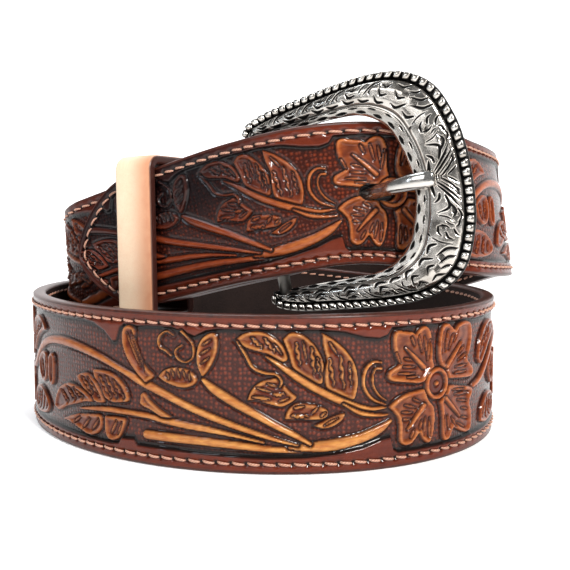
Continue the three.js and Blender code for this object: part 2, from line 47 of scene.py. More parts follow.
# Sizes of the belt in millimetres, as the solids have them
STRAP_WIDTH = 38.0
STRAP_THICKNESS = 3.8
HALF_WIDTH = STRAP_WIDTH / 2
LAYER_GAP = 1.6
LAYER = STRAP_THICKNESS + LAYER_GAP
STACK_LENGTH = 62.5
TIP_REACH = 62.0
TIP_TAPER = 20.0
TIP_POWER = 1.5
FOLD_LENGTH = 58.0
FOLD_TAPER = 16.0
FOLD_GAP = 0.3
COIL_RADIUS = 71.6
COIL_OVAL = 0.063
COIL_SLEW = 32.4
RING_START = -2.0
RING_END = -232.0
BEND_PULL = 0.37
BAR_RADIUS = 1.75
BAR_CLEARANCE = 1.05
BAR_OVERLAP = 3.1
WRAP_RADIUS = BAR_RADIUS + BAR_CLEARANCE + STRAP_THICKNESS
WRAP_LENGTH = math.pi * WRAP_RADIUS
BUCKLE_REACH = 56.5
BUCKLE_SWING = 10.0
BUCKLE_ROLL = 2.0
BUCKLE_DROP = 1.4
ARCH_RISE = 4.6
OPENING_MARGIN = 2.3
OPENING_HALF = HALF_WIDTH + OPENING_MARGIN
FRAME_BAND = 8.9
FRAME_HALF = OPENING_HALF + FRAME_BAND
CAST_BACK = 1.8
CAST_RELIEF = 2.2
ROPE_WIDTH = 2.4
ROPE_PITCH = 2.45
BEAD_POWER = 0.5
PRONG_LENGTH = 47.0
PRONG_WIDTH = 4.4
PRONG_THICKNESS = 3.3
PRONG_POWER = 0.72
PRONG_SIDES = 28
KEEPER_PLACE = 37.2
KEEPER_WIDTH = 13.0
KEEPER_THICKNESS = 2.9
KEEPER_SKEW = 12.5
KEEPER_CLEARANCE = 0.5
KEEPER_CORNER = 1.4
KEEPER_ROUND = 0.75
KEEPER_DOME = 0.22
SCREW_GAP = 3.2
SCREW_HEAD = 4.0
SCREW_SHANK = 2.0

# Knots of the strap's route: across and deep in coil radii, heading, lift in strap widths, lean, layers
DESCENT = [
    (-0.93, 0.217, 91, 0.58, 0, -0.8),
    (-0.72, 0.762, 43, 0.33, 0, -0.8),
    (0.028, 1.03, -3, 0.1, 0, -0.8),
]
ASCENT = [
    (-0.455, 0.928, 33, 0.12, 0, 0.6),
    (0.112, 1.075, 0, 0.42, 1, 0.6),
    (0.922, 0.894, -38, 0.8, 4, 0),
    (1.135, 0.419, -90, 1.03, 9, 0),
    (0.862, -0.401, -129, 1.16, 7, 0),
]
# Across, deep, heading, lift and lean; then lift and lean alone
BAR_KNOT = (-0.036, -0.542, 147.5, 1.14, -1)
KEEPER_KNOT = (0.91, 1)
STACK_END_KNOT = (0.73, 1)
TIP_KNOT = (0.76, 2)
# Behind the rest end: along and out as shares of the buckle's reach, heading, lift and lean
REST_KNOT = (0.495, 0.043, -182, 1.26, 2)
BEND_STEPS = 160
RING_STEPS = 920


# Route of the strap
def heading(degrees):
    """Unit vector in plan at an angle from +X."""
    return np.array([math.cos(math.radians(degrees)), math.sin(math.radians(degrees))])


def outside(direction):
    """The plan direction turned a quarter to the left."""
    return np.array([-direction[1], direction[0]])


def bend(from_place, from_way, to_place, to_way):
    """Points of a cubic bend between two places with given directions."""
    pull = BEND_PULL * np.linalg.norm(to_place - from_place)
    t = np.linspace(0, 1, BEND_STEPS + 1)[:, None]
    a, b = from_place, from_place + from_way * pull
    c, d = to_place - to_way * pull, to_place
    return (1 - t) ** 3 * a + 3 * (1 - t) ** 2 * t * b + 3 * (1 - t) * t * t * c + t ** 3 * d


def make_route():
    """Points of the outer face's middle in plan, their distances, and the knots' (distance, lift, lean)."""
    bar_way = heading(BAR_KNOT[2])
    away = outside(bar_way)
    tip_start = np.array(BAR_KNOT[:2]) * COIL_RADIUS
    start = tip_start - away * LAYER

    def straight(origin, distance, lift, lean):
        return origin + bar_way * distance, bar_way, lift, lean

    def plan_knot(row):
        way = heading(row[2])
        return np.array(row[:2]) * COIL_RADIUS + outside(way) * row[5] * LAYER, way, row[3], row[4]

    turn = np.radians(np.linspace(RING_START, RING_END, RING_STEPS + 1))
    slew = math.radians(COIL_SLEW)
    spin = np.array([[math.cos(slew), -math.sin(slew)], [math.sin(slew), math.cos(slew)]])
    wide, deep = COIL_RADIUS * (1 - COIL_OVAL), COIL_RADIUS * (1 + COIL_OVAL)
    ring = (spin @ np.array([wide * np.cos(turn), deep * np.sin(turn)])).T

    def ring_way(i):
        way = -(spin @ np.array([-wide * math.sin(turn[i]), deep * math.cos(turn[i])]))
        return way / np.linalg.norm(way)

    frame_way = -heading(BAR_KNOT[2] + BUCKLE_SWING)
    rest = (start - away * WRAP_RADIUS + frame_way * REST_KNOT[0] * BUCKLE_REACH
            - outside(frame_way) * REST_KNOT[1] * BUCKLE_REACH)
    before = [straight(start, 0, *BAR_KNOT[3:]), straight(start, KEEPER_PLACE, *KEEPER_KNOT),
              straight(start, STACK_LENGTH, *STACK_END_KNOT)]
    before += [plan_knot(row) for row in DESCENT] + [(ring[0], ring_way(0), 0, 0)]
    after = [(ring[-1], ring_way(-1), 0, 0)] + [plan_knot(row) for row in ASCENT]
    after += [(rest, heading(REST_KNOT[2]), *REST_KNOT[3:]), straight(tip_start, 0, *BAR_KNOT[3:]),
              straight(tip_start, KEEPER_PLACE, *KEEPER_KNOT), straight(tip_start, TIP_REACH, *TIP_KNOT)]
    pieces, levels, total = [before[0][0][None]], [], 0.0
    for knots in (before, after):
        for i, knot in enumerate(knots):
            levels.append((total, knot[2], knot[3]))
            if i < len(knots) - 1:
                piece = bend(knot[0], knot[1], knots[i + 1][0], knots[i + 1][1])
                pieces.append(piece[1:])
                total += np.linalg.norm(np.diff(piece, axis=0), axis=1).sum()
        if knots is before:
            pieces.append(ring[1:])
            total += np.linalg.norm(np.diff(ring, axis=0), axis=1).sum()
    plan = np.vstack(pieces)
    far = np.r_[0, np.cumsum(np.linalg.norm(np.diff(plan, axis=0), axis=1))]
    return plan, far, np.array(levels)


def read_table(xs, ys, x):
    """Value at x on a smooth curve through a table that never overshoots its rows."""
    xs, ys = np.asarray(xs, float), np.asarray(ys, float)
    x = np.clip(x, xs[0], xs[-1])
    secants = np.diff(ys) / np.diff(xs)
    slopes = np.empty(len(xs))
    slopes[0], slopes[-1] = secants[0], secants[-1]
    product, total = secants[:-1] * secants[1:], secants[:-1] + secants[1:]
    slopes[1:-1] = np.where(product > 0, 2 * product / np.where(total == 0, 1, total), 0)
    i = np.clip(np.searchsorted(xs, x, side="left") - 1, 0, len(xs) - 2)
    h = xs[i + 1] - xs[i]
    t = (x - xs[i]) / h
    ease = t * t * (3 - 2 * t)
    return (ys[i] + (ys[i + 1] - ys[i]) * ease
            + h * (t * (1 - t) ** 2 * slopes[i] + t * t * (t - 1) * slopes[i + 1]))


PLAN, FAR, LEVELS = make_route()
LENGTH = FAR[-1]


def unit(v):
    """Vectors along the last axis, each of length one."""
    return v / np.linalg.norm(v, axis=-1, keepdims=True)


def face_point(s):
    """Middle of the strap's outer face at a distance along the route."""
    plan = np.stack([np.interp(s, FAR, PLAN[:, 0]), np.interp(s, FAR, PLAN[:, 1])], axis=-1)
    lift = read_table(LEVELS[:, 0], LEVELS[:, 1], s)
    lean = np.radians(read_table(LEVELS[:, 0], LEVELS[:, 2], s))
    return np.concatenate([plan, (lift * STRAP_WIDTH + HALF_WIDTH * np.cos(lean))[..., None]], axis=-1)


def strap_frame(s):
    """Place of the outer face's middle and the unit vectors along, up and out, in ring coordinates."""
    s = np.atleast_1d(np.asarray(s, float))
    step = 1.2
    along = unit(face_point(np.minimum(s + step, LENGTH)) - face_point(np.maximum(s - step, 0)))
    lean = np.radians(read_table(LEVELS[:, 0], LEVELS[:, 2], s))[:, None]
    level = unit(np.cross([0, 0, 1], along))
    up = unit(np.cross(along, level)) * np.cos(lean) - level * np.sin(lean)
    return face_point(s), along, up, unit(np.cross(up, along))


def find_shift():
    """The shift that centres the solids' box, found from the strap's own lowest corner."""
    place, _, up, out = strap_frame(np.linspace(0, LENGTH, 4000))
    edges = [place + up * k * HALF_WIDTH - out * d for k in (-1, 1) for d in (0, STRAP_THICKNESS)]
    edge = np.concatenate(edges)
    low = np.array(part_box("belt_strap")[0]) / MM
    return np.array([low[0] - edge[:, 0].min(), low[1] - edge[:, 1].min(), 0.0])


SHIFT = find_shift()


def turn_about(v, axis, degrees):
    """The vector turned about a unit axis."""
    a = math.radians(degrees)
    return v * math.cos(a) + np.cross(axis, v) * math.sin(a) + axis * np.dot(axis, v) * (1 - math.cos(a))


bar_face, bar_along, bar_up, bar_out = [part[0] for part in strap_frame(0.0)]
BAR_CENTRE = bar_face - bar_out * WRAP_RADIUS
BUCKLE_OUT = turn_about(bar_out, bar_up, BUCKLE_SWING)
BUCKLE_RIGHT = turn_about(turn_about(-bar_along, bar_up, BUCKLE_SWING), BUCKLE_OUT, -BUCKLE_ROLL)
BUCKLE_UP = turn_about(bar_up, BUCKLE_OUT, -BUCKLE_ROLL)
BUCKLE_CENTRE = BAR_CENTRE - bar_up * BUCKLE_DROP


def from_buckle(x, y, z):
    """Metres in the part's frame from millimetres in the buckle's axes."""
    x, y, z = np.broadcast_arrays(x, y, z)
    p = (BUCKLE_CENTRE + x[..., None] * BUCKLE_RIGHT + y[..., None] * BUCKLE_UP + z[..., None] * BUCKLE_OUT)
    return (p + SHIFT) * MM


def path_frame(q):
    """strap_frame over the whole strap: q below 0 goes round the bar and along the folded end."""
    q = np.atleast_1d(np.asarray(q, float))
    place, along, up, out = strap_frame(np.where(q < 0, np.clip(-q - WRAP_LENGTH, 0, None), q))
    turned = (q < 0) & (q >= -WRAP_LENGTH)
    angle = (-np.where(turned, q, 0) / WRAP_LENGTH * math.pi)[:, None]
    wrap_out = out * np.cos(angle) - along * np.sin(angle)
    wrap_along = along * np.cos(angle) + out * np.sin(angle)
    wrap_place = place - out * WRAP_RADIUS + wrap_out * WRAP_RADIUS
    far = np.clip(-q - WRAP_LENGTH, 0, None)
    t = np.clip(far / FOLD_TAPER, 0, 1)
    ease = t * t * (3 - 2 * t)
    closed = 2 * STRAP_THICKNESS + FOLD_GAP
    depth = 2 * WRAP_RADIUS + (closed - 2 * WRAP_RADIUS) * ease
    rise = (closed - 2 * WRAP_RADIUS) * 6 * t * (1 - t) / FOLD_TAPER
    fold_along = unit(-along + out * rise[:, None])
    fold_out = unit(np.cross(up, fold_along))
    fold_place = place - out * depth[:, None]
    folded = (q < -WRAP_LENGTH)[:, None]
    turned = turned[:, None]

    def pick(flat, wrapped, back):
        return np.where(folded, back, np.where(turned, wrapped, flat))

    return (pick(place, wrap_place, fold_place), pick(along, wrap_along, fold_along), up,
            pick(out, wrap_out, fold_out))


def tip_half_width(s):
    """Half the strap's width, which closes to the point over the taper."""
    share = np.clip(1 - (LENGTH - np.asarray(s, float)) / TIP_TAPER, 0, 1)
    return HALF_WIDTH * (1 - share ** TIP_POWER) ** (1 / TIP_POWER)


# Small helpers
def srgb(code):
    """Linear colour from an sRGB hex code."""
    parts = [int(code[i:i + 2], 16) / 255 for i in (1, 3, 5)]
    linear = [c / 12.92 if c <= 0.04045 else ((c + 0.055) / 1.055) ** 2.4 for c in parts]
    return (*linear, 1.0)


def smoothstep(x, low, high):
    """Eases from 0 at low to 1 at high."""
    t = np.clip((x - low) / (high - low), 0, 1)
    return t * t * (3 - 2 * t)


def spline(points, step):
    """Points about one step apart on a smooth curve through the given rows; every column is carried."""
    points = np.asarray(points, float)
    if len(points) == 2:
        n = max(2, int(np.linalg.norm(points[1, :2] - points[0, :2]) / step) + 1)
        return points[0] + (points[1] - points[0]) * np.linspace(0, 1, n)[:, None]
    padded = np.vstack([2 * points[0] - points[1], points, 2 * points[-1] - points[-2]])
    out = []
    for i in range(1, len(padded) - 2):
        p0, p1, p2, p3 = padded[i - 1:i + 3]
        n = max(2, int(np.linalg.norm((p2 - p1)[:2]) / step) + 1)
        t = np.linspace(0, 1, n, endpoint=False)[:, None]
        out.append(0.5 * (2 * p1 + (p2 - p0) * t + (2 * p0 - 5 * p1 + 4 * p2 - p3) * t ** 2
                          + (3 * p1 - p0 - 3 * p2 + p3) * t ** 3))
    return np.vstack(out + [points[-1:]])


def make_mesh(name, verts, quads, values=None, faces_material=None):
    """Object from numpy vertices in metres and quads or triangles, with float or vector attributes."""
    mesh = bpy.data.meshes.new(name)
    quads = np.asarray(quads, np.int32)
    size = quads.shape[1]
    mesh.vertices.add(len(verts))
    mesh.vertices.foreach_set("co", np.asarray(verts, np.float32).ravel())
    mesh.loops.add(quads.size)
    mesh.loops.foreach_set("vertex_index", quads.ravel())
    mesh.polygons.add(len(quads))
    mesh.polygons.foreach_set("loop_start", np.arange(0, quads.size, size, dtype=np.int32))
    mesh.update(calc_edges=True)
    mesh.polygons.foreach_set("use_smooth", np.ones(len(quads), bool))
    for key, data in (values or {}).items():
        data = np.asarray(data, np.float32)
        kind = "FLOAT" if data.ndim == 1 else "FLOAT_VECTOR"
        layer = mesh.attributes.new(key, kind, "POINT")
        if len(data) != len(verts):
            raise ValueError(f"{name}.{key}: {len(data)} values for {len(verts)} points")
        layer.data.foreach_set("value" if kind == "FLOAT" else "vector", data.ravel())
    if faces_material is not None:
        mesh.polygons.foreach_set("material_index", np.asarray(faces_material, np.int32))
    mesh.validate()
    piece = bpy.data.objects.new(name, mesh)
    bpy.context.scene.collection.objects.link(piece)
    return piece


def soft_power(value, power):
    """Power that keeps the sign: under 1 it squares a round form up."""
    return np.sign(value) * np.abs(value) ** power


def grid_quads(rows, columns, close_rows=False, close_columns=False):
    """Quads over a grid of points stored row by row, closed either way where asked."""
    r = np.arange(rows if close_rows else rows - 1)
    c = np.arange(columns if close_columns else columns - 1)
    r, c = np.meshgrid(r, c, indexing="ij")
    r2, c2 = (r + 1) % rows, (c + 1) % columns
    corners = [r * columns + c, r2 * columns + c, r2 * columns + c2, r * columns + c2]
    return np.stack(corners, -1).reshape(-1, 4)


# Tooling of the strap: one repeat of the floral pattern, in millimetres. p runs to the viewer's right along
# the strap and v up across it, with the flower's centre at p = 0.
REPEAT = 158.5
FLOWER_AT = 352.0
CELL = 0.1
GROUND_DEPTH = 0.75
CUT_DEPTH = 0.95
P_LOW = -142.5
V_HIGH = 17.0

PETALS = [
    [(-1.2, 4.6), (-1.9, 7), (-2.1, 10), (-2.4, 12.6), (-3.4, 14.7), (-5, 15.2), (-6.6, 14.3),
     (-7.4, 13.4), (-8.6, 14), (-10.6, 14.2), (-12.6, 14.6), (-13.9, 13.8), (-14.1, 11.2), (-13.5, 8.6),
     (-12.5, 6.4), (-13.6, 5.7), (-15.2, 4.8), (-15.6, 3.4), (-14.6, 2.4), (-12, 1.9), (-9, 1.5),
     (-6.4, 1.1), (-4.4, 1.6)],
    [(-4.6, -0.4), (-7, -0.6), (-9.6, -0.9), (-12, -1.7), (-14.2, -3), (-15.1, -4), (-13.9, -5.2),
     (-12.6, -7), (-12.2, -9.4), (-12.3, -11.6), (-11.8, -13.1), (-10.2, -13.9), (-8.4, -13.5),
     (-7, -12.2), (-6.1, -11.4), (-5.3, -12.5), (-4, -13.9), (-2.6, -14.1), (-1.6, -12.6), (-1.1, -10),
     (-0.9, -7.6), (-1.4, -5), (-3, -3.4)],
    [(0.9, -4.4), (1.7, -6.6), (2.1, -9.6), (2.1, -12.6), (2.9, -14.5), (4.8, -14.3), (6, -12.6),
     (6.7, -11.9), (8.4, -12.6), (10.6, -13.6), (13, -14.2), (15.1, -13.5), (15.6, -11.2), (15.2, -8.6),
     (14.2, -6.2), (15.2, -5), (16, -3.7), (15.2, -2.5), (12.6, -1.9), (9.4, -1.3), (6, -0.7),
     (4.3, -0.8), (3.4, -2.6)],
    [(4.4, 1), (7, 0.8), (10.6, 0.4), (14.2, 0.2), (16.1, 0.9), (16, 2.5), (14.2, 4), (12.8, 5.3),
     (13.9, 7), (14.9, 9.6), (15, 12.8), (13.8, 14.7), (11, 15.1), (8.4, 14.5), (6.8, 13.4), (5.4, 14.3),
     (3.9, 15.2), (2, 14.9), (0.8, 12.8), (0.3, 9.6), (0.4, 6.8), (1.4, 4.6), (3.2, 3.6)],
]
# Spikes and veins of the petals: start, end, half width at the start and at the end
PETAL_SPIKES = [
    (-4.6, 5.0, -10.4, 10.2, 0.72, 0.28), (3.7, 4.2, 9.9, 9.9, 0.62, 0.28),
    (-4.4, -4.6, -9.6, -10.0, 0.72, 0.28), (3.6, -3.9, 9.6, -9.3, 0.66, 0.28),
]
PETAL_VEINS = [
    (-13.2, 9.2, -12.0, 6.6), (-10.6, 7.6, -8.4, 7.0), (-11.0, 5.6, -7.2, 5.2), (-12.2, 4.0, -7.4, 3.6),
    (-9.8, 2.9, -6.4, 2.8), (-4.4, 12.6, -3.6, 8.0), (-6.4, 13.0, -5.2, 8.8), (-8.6, 12.8, -7.6, 10.6),
    (-3.4, 6.6, -2.8, 11.6), (2.2, 13.0, 1.6, 8.0), (4.2, 13.4, 3.2, 8.4), (6.2, 12.2, 4.6, 8.6),
    (8.6, 13.2, 6.8, 10.4), (11.4, 8.6, 8.4, 6.9), (12.6, 6.6, 8.6, 5.2), (12.8, 3.6, 7.4, 3.6),
    (12.6, 2.0, 6.6, 2.2), (-7.8, -2.6, -5.6, -3.6), (-10.4, -3.9, -7.0, -4.8), (-11.2, -5.6, -8.0, -6.0),
    (-11.0, -7.4, -8.8, -7.6), (-8.6, -12.2, -7.4, -10.2), (-4.4, -11.8, -3.8, -7.6),
    (-2.6, -12.6, -2.4, -8.0), (-5.8, -10.4, -5.0, -8.2), (3.4, -12.8, 3.0, -8.2),
    (5.0, -11.8, 4.4, -8.4), (8.0, -11.6, 6.2, -9.0), (12.2, -12.6, 8.6, -10.8),
    (14.0, -10.6, 10.8, -9.8), (13.6, -8.0, 10.6, -7.4), (13.2, -5.9, 8.6, -5.0), (13.8, -3.8, 7.4, -3.4),
    (11.6, -2.6, 6.4, -2.0),
]

# Stems: rows of p, v and half width
STEMS = [
    # band along the lower border, from its blunt end to the flower
    [(-76.5, -11.4, 1.2), (-68, -11.5, 1.2), (-60, -11.7, 1.1), (-52, -12.2, 1.0), (-44, -12.9, 0.8),
     (-37, -13.2, 0.7)],
    [(-40, -12.4, 0.4), (-35, -12.4, 1.2), (-29, -12.0, 1.5), (-23, -10.9, 1.35), (-18, -9.2, 1.15),
     (-14.6, -7.2, 0.4)],
    # the long stem over the left half, from the next flower to the lower border
    [(-142.3, -2.6, 0.7), (-138, -1.6, 0.9), (-134, 0.4, 1.0), (-129, 3.6, 1.1), (-123, 6.7, 1.15),
     (-116, 8.3, 1.2), (-108, 8.6, 1.25), (-100, 7.9, 1.15), (-92, 6.3, 1.0), (-84, 3.8, 0.85),
     (-78, 1.6, 1.2), (-72, -0.6, 1.1), (-66, -3.0, 1.0), (-60, -5.2, 0.95), (-54, -7.2, 0.85),
     (-48, -9.1, 0.7), (-42, -10.9, 0.5), (-38, -11.9, 0.3)],
    # stem below it, out of the small leaf
    [(-101, -8.1, 0.3), (-95, -7.3, 0.6), (-88, -6.7, 0.8), (-82, -6.6, 0.75), (-76, -6.8, 0.75),
     (-71, -7.4, 0.95), (-65, -8.1, 0.95), (-59, -8.8, 0.8), (-53, -9.8, 0.55), (-46, -11.3, 0.3)],
    # stem from the bud leaves down to the border
    [(-61, 3.4, 0.5), (-58.6, 1.4, 1.05), (-55, -0.8, 1.2), (-51, -3.0, 1.1), (-47, -5.1, 1.0),
     (-43, -7.3, 0.9), (-39, -9.3, 0.8), (-35, -11.6, 0.5)],
    # midrib of the big leaf, with a fork at the flower
    [(-45.6, 9.3, 0.25), (-43, 7.7, 0.55), (-39.6, 5.3, 0.85), (-36, 2.9, 0.95), (-32, 0.6, 0.95),
     (-28, -1.4, 0.95), (-24, -3.0, 0.9), (-20, -3.9, 0.55), (-15.8, -3.9, 0.35)],
    [(-27, -2.4, 0.3), (-23, -4.6, 0.6), (-19, -5.5, 0.5), (-15.4, -5.7, 0.3)],
    # curl beside the flower
    [(-17.2, 7.1, 0.3), (-19.4, 7.3, 0.42), (-21.3, 5.8, 0.5), (-22.0, 3.0, 0.5), (-21.4, 0.6, 0.5),
     (-19.4, -1.7, 0.42), (-16.0, -3.2, 0.25)],
    [(-17.4, 5.7, 0.5), (-18.8, 5.6, 0.3), (-19.6, 3.6, 0.32), (-19.2, 1.2, 0.36), (-17.6, -1.0, 0.32),
     (-15.6, -2.3, 0.2)],
    # hook beside the big leaf
    [(-52.4, 12.6, 0.25), (-50.4, 9.6, 0.4), (-48.7, 6.7, 0.45), (-46, 5.4, 0.4), (-43.2, 5.0, 0.35),
     (-41.8, 3.4, 0.35), (-42.3, 2.0, 0.25)],
    # scrolls over the bud leaf
    [(-68.6, 13.6, 0.25), (-70.6, 14.4, 0.3), (-72.6, 12.8, 0.35), (-72.4, 10.6, 0.35), (-70.6, 9.6, 0.3),
     (-69.2, 8.6, 0.3)],
    [(-66.4, 14.6, 0.4), (-65, 13.4, 0.3), (-63.4, 11.4, 0.3), (-63.4, 8.6, 0.3), (-65.4, 7.2, 0.3),
     (-67.6, 8.2, 0.3), (-68, 10, 0.3), (-66.4, 11.2, 0.3)],
]

# Leaves: closed outlines with a raised rim and a hollowed middle
LEAVES = [
    # three lobes of the big leaf over its midrib
    [(-53.2, 12.9), (-50.6, 14.7), (-47, 15.2), (-43.6, 13.8), (-41.2, 11.5), (-40.2, 8.8), (-42, 7.9),
     (-44.4, 9.5), (-47.4, 10.4), (-50.2, 11.2)],
    [(-41.6, 13.4), (-39.8, 14.9), (-37.2, 14.6), (-34.8, 12.8), (-33, 10.4), (-31.8, 7.4), (-31.6, 3.6),
     (-33.4, 2.6), (-36.6, 4.4), (-39.2, 6.6), (-40.2, 9.8)],
    [(-32.4, 14.9), (-29.4, 13.1), (-26.4, 10.5), (-24.3, 7.4), (-23.4, 4), (-23.6, 0.8), (-24.8, -1.6),
     (-28.2, 0), (-31.2, 1.8), (-31.6, 5.2), (-31.2, 8.2), (-32, 11.4)],
    # three small leaves under it
    [(-50.1, -1.3), (-49, 1.3), (-47, 3.2), (-44.8, 3.9), (-42.3, 4.2), (-41.2, 2.6), (-39.6, 0.9),
     (-38.2, -0.4), (-39.8, -1.8), (-42, -2.7), (-45, -2.0), (-47.6, -1.3)],
    [(-41.2, -5.7), (-40.4, -3.4), (-38.4, -1.8), (-36.4, -1.9), (-33.6, -2.3), (-30.9, -3.6),
     (-31.2, -5.5), (-34, -5.9), (-38, -5.7)],
    [(-34.4, -7.3), (-32, -6.3), (-29.6, -5.2), (-26.6, -4.5), (-27.4, -6.2), (-29.6, -7.6), (-32, -8.0)],
    # bud leaves
    [(-61.1, 3.9), (-62.3, 6.6), (-62.4, 10), (-61.2, 13), (-58.8, 14.6), (-57.2, 13.8), (-57.1, 10.6),
     (-58.2, 7.6), (-60, 4.8)],
    [(-73, 3.3), (-71.2, 5), (-68.2, 5.9), (-65, 5.6), (-63.1, 4.5), (-62.3, 2.9), (-64, 1.4), (-67, 1),
     (-70.6, 1.9)],
    # curled leaf out of the long stem
    [(-76.6, 1.4), (-79.8, 4.1), (-82.6, 7.6), (-83.9, 11.4), (-83.4, 14.4), (-81.4, 15.3), (-79.7, 14),
     (-79.8, 10.8), (-78.2, 7.4), (-75.8, 4.9), (-74, 3.2)],
    # pointed leaflet
    [(-78.4, -3.9), (-78, -1.4), (-76.7, -1.2), (-75.2, -2.8), (-72.2, -4.8), (-69.2, -6.4), (-72, -6.6),
     (-75.2, -5.2), (-77.2, -4.6)],
    # feather leaf: three upper lobes and two lower ones
    [(-94.8, 3.0), (-91, 3.2), (-87, 2.6), (-84, 0.8), (-82.3, -1.4), (-81.9, -3.6), (-84.4, -4.4),
     (-88, -4.6), (-91, -3.2), (-93.6, -0.6)],
    [(-102.2, 0.4), (-99.6, 1.5), (-96.4, 1.5), (-94, 0.2), (-91.4, -2.8), (-90.4, -5.0), (-94, -5.4),
     (-97.6, -3.4), (-100.6, -1.2)],
    [(-115.4, -9.8), (-113.6, -6), (-110.6, -3.4), (-106.4, -2.1), (-102, -2.4), (-98, -3.4), (-95, -5.4),
     (-99, -6.2), (-103, -7.4), (-108, -8.8), (-112, -10.4)],
    [(-102, -9.6), (-97, -8.9), (-92, -8.6), (-91.4, -11.4), (-93.6, -13.6), (-97, -14.4), (-101, -13.6),
     (-105.6, -12.6), (-109.6, -12.2), (-106, -10.8)],
    [(-90.4, -8.4), (-86, -8.2), (-83, -8.4), (-84, -11.6), (-85.8, -13.8), (-88.6, -14.4),
     (-90.2, -12.6)],
    # half flower and leaves behind the long stem
    [(-119.6, 3.0), (-119.8, -2.0), (-118.4, -4.2), (-116.4, -4.2), (-115.4, -1.4), (-115.6, 3.4),
     (-117.4, 4.6)],
    [(-129.6, 1.0), (-128.4, -2.6), (-125.2, -4.6), (-122, -3.4), (-120.6, 0.2), (-121.6, 3.6),
     (-124.6, 4.2), (-127.6, 2.8)],
    [(-136.6, -13.2), (-135.4, -9.2), (-131.2, -6.4), (-126.4, -6.2), (-122.2, -7.8), (-119.4, -10.6),
     (-121.4, -12.8), (-126, -13.8), (-131.6, -14.2)],
    [(-139.4, 4.2), (-138.2, 8.6), (-134.6, 12.4), (-129.4, 14), (-124.6, 12.8), (-121.8, 10.4),
     (-125.6, 9.4), (-130, 7.4), (-134, 4.6), (-137.2, 2.6)],
]
# Teeth and veins on the leaves: p, v of both ends, half width; wavy ones are marked 1
TEETH = [
    (-30.4, 8.6, -29.3, 2.2, 0.42, 1), (-27.8, 9.2, -26.8, 1.4, 0.42, 1),
    (-25.6, 7.6, -25.0, 2.0, 0.3, 1), (-30.4, 12.4, -28.6, 9.6, 0.35, 0),
    (-34.8, 11.4, -34.0, 5.2, 0.42, 1), (-38.4, 12.4, -37.4, 7.2, 0.42, 1),
    (-36.8, 12.8, -35.8, 8.0, 0.3, 0), (-33.4, 9.0, -32.6, 4.4, 0.3, 1),
    (-46.0, 13.6, -43.4, 10.4, 0.38, 1), (-49.0, 13.6, -46.4, 11.4, 0.38, 1),
    (-43.6, 12.2, -41.8, 9.8, 0.3, 0), (-47.6, 1.8, -44.2, 0.8, 0.34, 0),
    (-45.2, 2.8, -42.6, 2.0, 0.34, 0), (-43.8, 0.2, -41.2, 0.4, 0.42, 1),
    (-42.4, -1.4, -40.2, -0.6, 0.34, 0), (-48.6, -0.4, -44.6, -0.8, 0.45, 0),
    (-38.8, -3.0, -36.6, -2.6, 0.42, 0), (-39.4, -4.9, -35.6, -4.9, 0.45, 1),
    (-34.6, -4.4, -33.2, -2.9, 0.36, 0), (-32.4, -5.0, -31.4, -4.2, 0.36, 0),
    (-31.6, -7.2, -28.4, -5.6, 0.3, 0), (-60.8, 11.6, -59.0, 12.8, 0.3, 0),
    (-61.4, 9.4, -59.2, 10.8, 0.3, 0), (-61.3, 7.2, -59.4, 8.6, 0.3, 0), (-70.4, 4.4, -70.0, 2.8, 0.3, 0),
    (-69.0, 5.0, -68.5, 3.2, 0.3, 0), (-67.5, 5.3, -67.0, 3.3, 0.3, 0), (-66.0, 5.2, -65.5, 3.2, 0.3, 0),
    (-64.5, 4.8, -64.3, 2.8, 0.3, 0), (-82.4, 13.2, -78.2, 5.2, 0.34, 0),
    (-80.9, 13.8, -77.0, 4.6, 0.26, 0), (-92.6, 1.4, -88.0, -3.6, 0.38, 1),
    (-90.2, 1.8, -86.0, -3.4, 0.38, 1), (-87.4, 1.0, -83.6, -3.2, 0.38, 1),
    (-99.8, 0.4, -95.4, -3.4, 0.38, 1), (-97.2, 0.6, -92.6, -3.8, 0.38, 1),
    (-110.8, -4.8, -106.8, -7.4, 0.38, 1), (-107.4, -3.4, -103.0, -6.2, 0.38, 1),
    (-104.0, -3.2, -99.4, -5.2, 0.38, 1), (-88.2, -12.6, -86.2, -9.2, 0.4, 0),
    (-85.8, -12.4, -84.4, -9.4, 0.34, 0), (-95.6, -12.8, -92.8, -9.6, 0.38, 0),
    (-99.6, -12.9, -96.6, -10.0, 0.38, 0), (-103.8, -12.2, -100.8, -10.2, 0.38, 0),
    (-133.6, -12.4, -131.2, -8.4, 0.4, 1), (-130.2, -12.8, -128.2, -7.8, 0.4, 1),
    (-126.6, -12.6, -125.2, -8.0, 0.4, 1), (-123.2, -11.8, -122.4, -9.2, 0.34, 0),
    (-136.4, 6.2, -133.6, 9.6, 0.38, 1), (-133.6, 7.4, -130.6, 11.6, 0.38, 1),
    (-130.0, 9.4, -127.0, 12.4, 0.38, 1), (-117.6, 3.0, -117.6, -2.6, 0.34, 0),
    (-126.8, 1.2, -125.2, -2.8, 0.36, 1), (-123.4, 2.4, -123.0, -2.2, 0.36, 1),
]
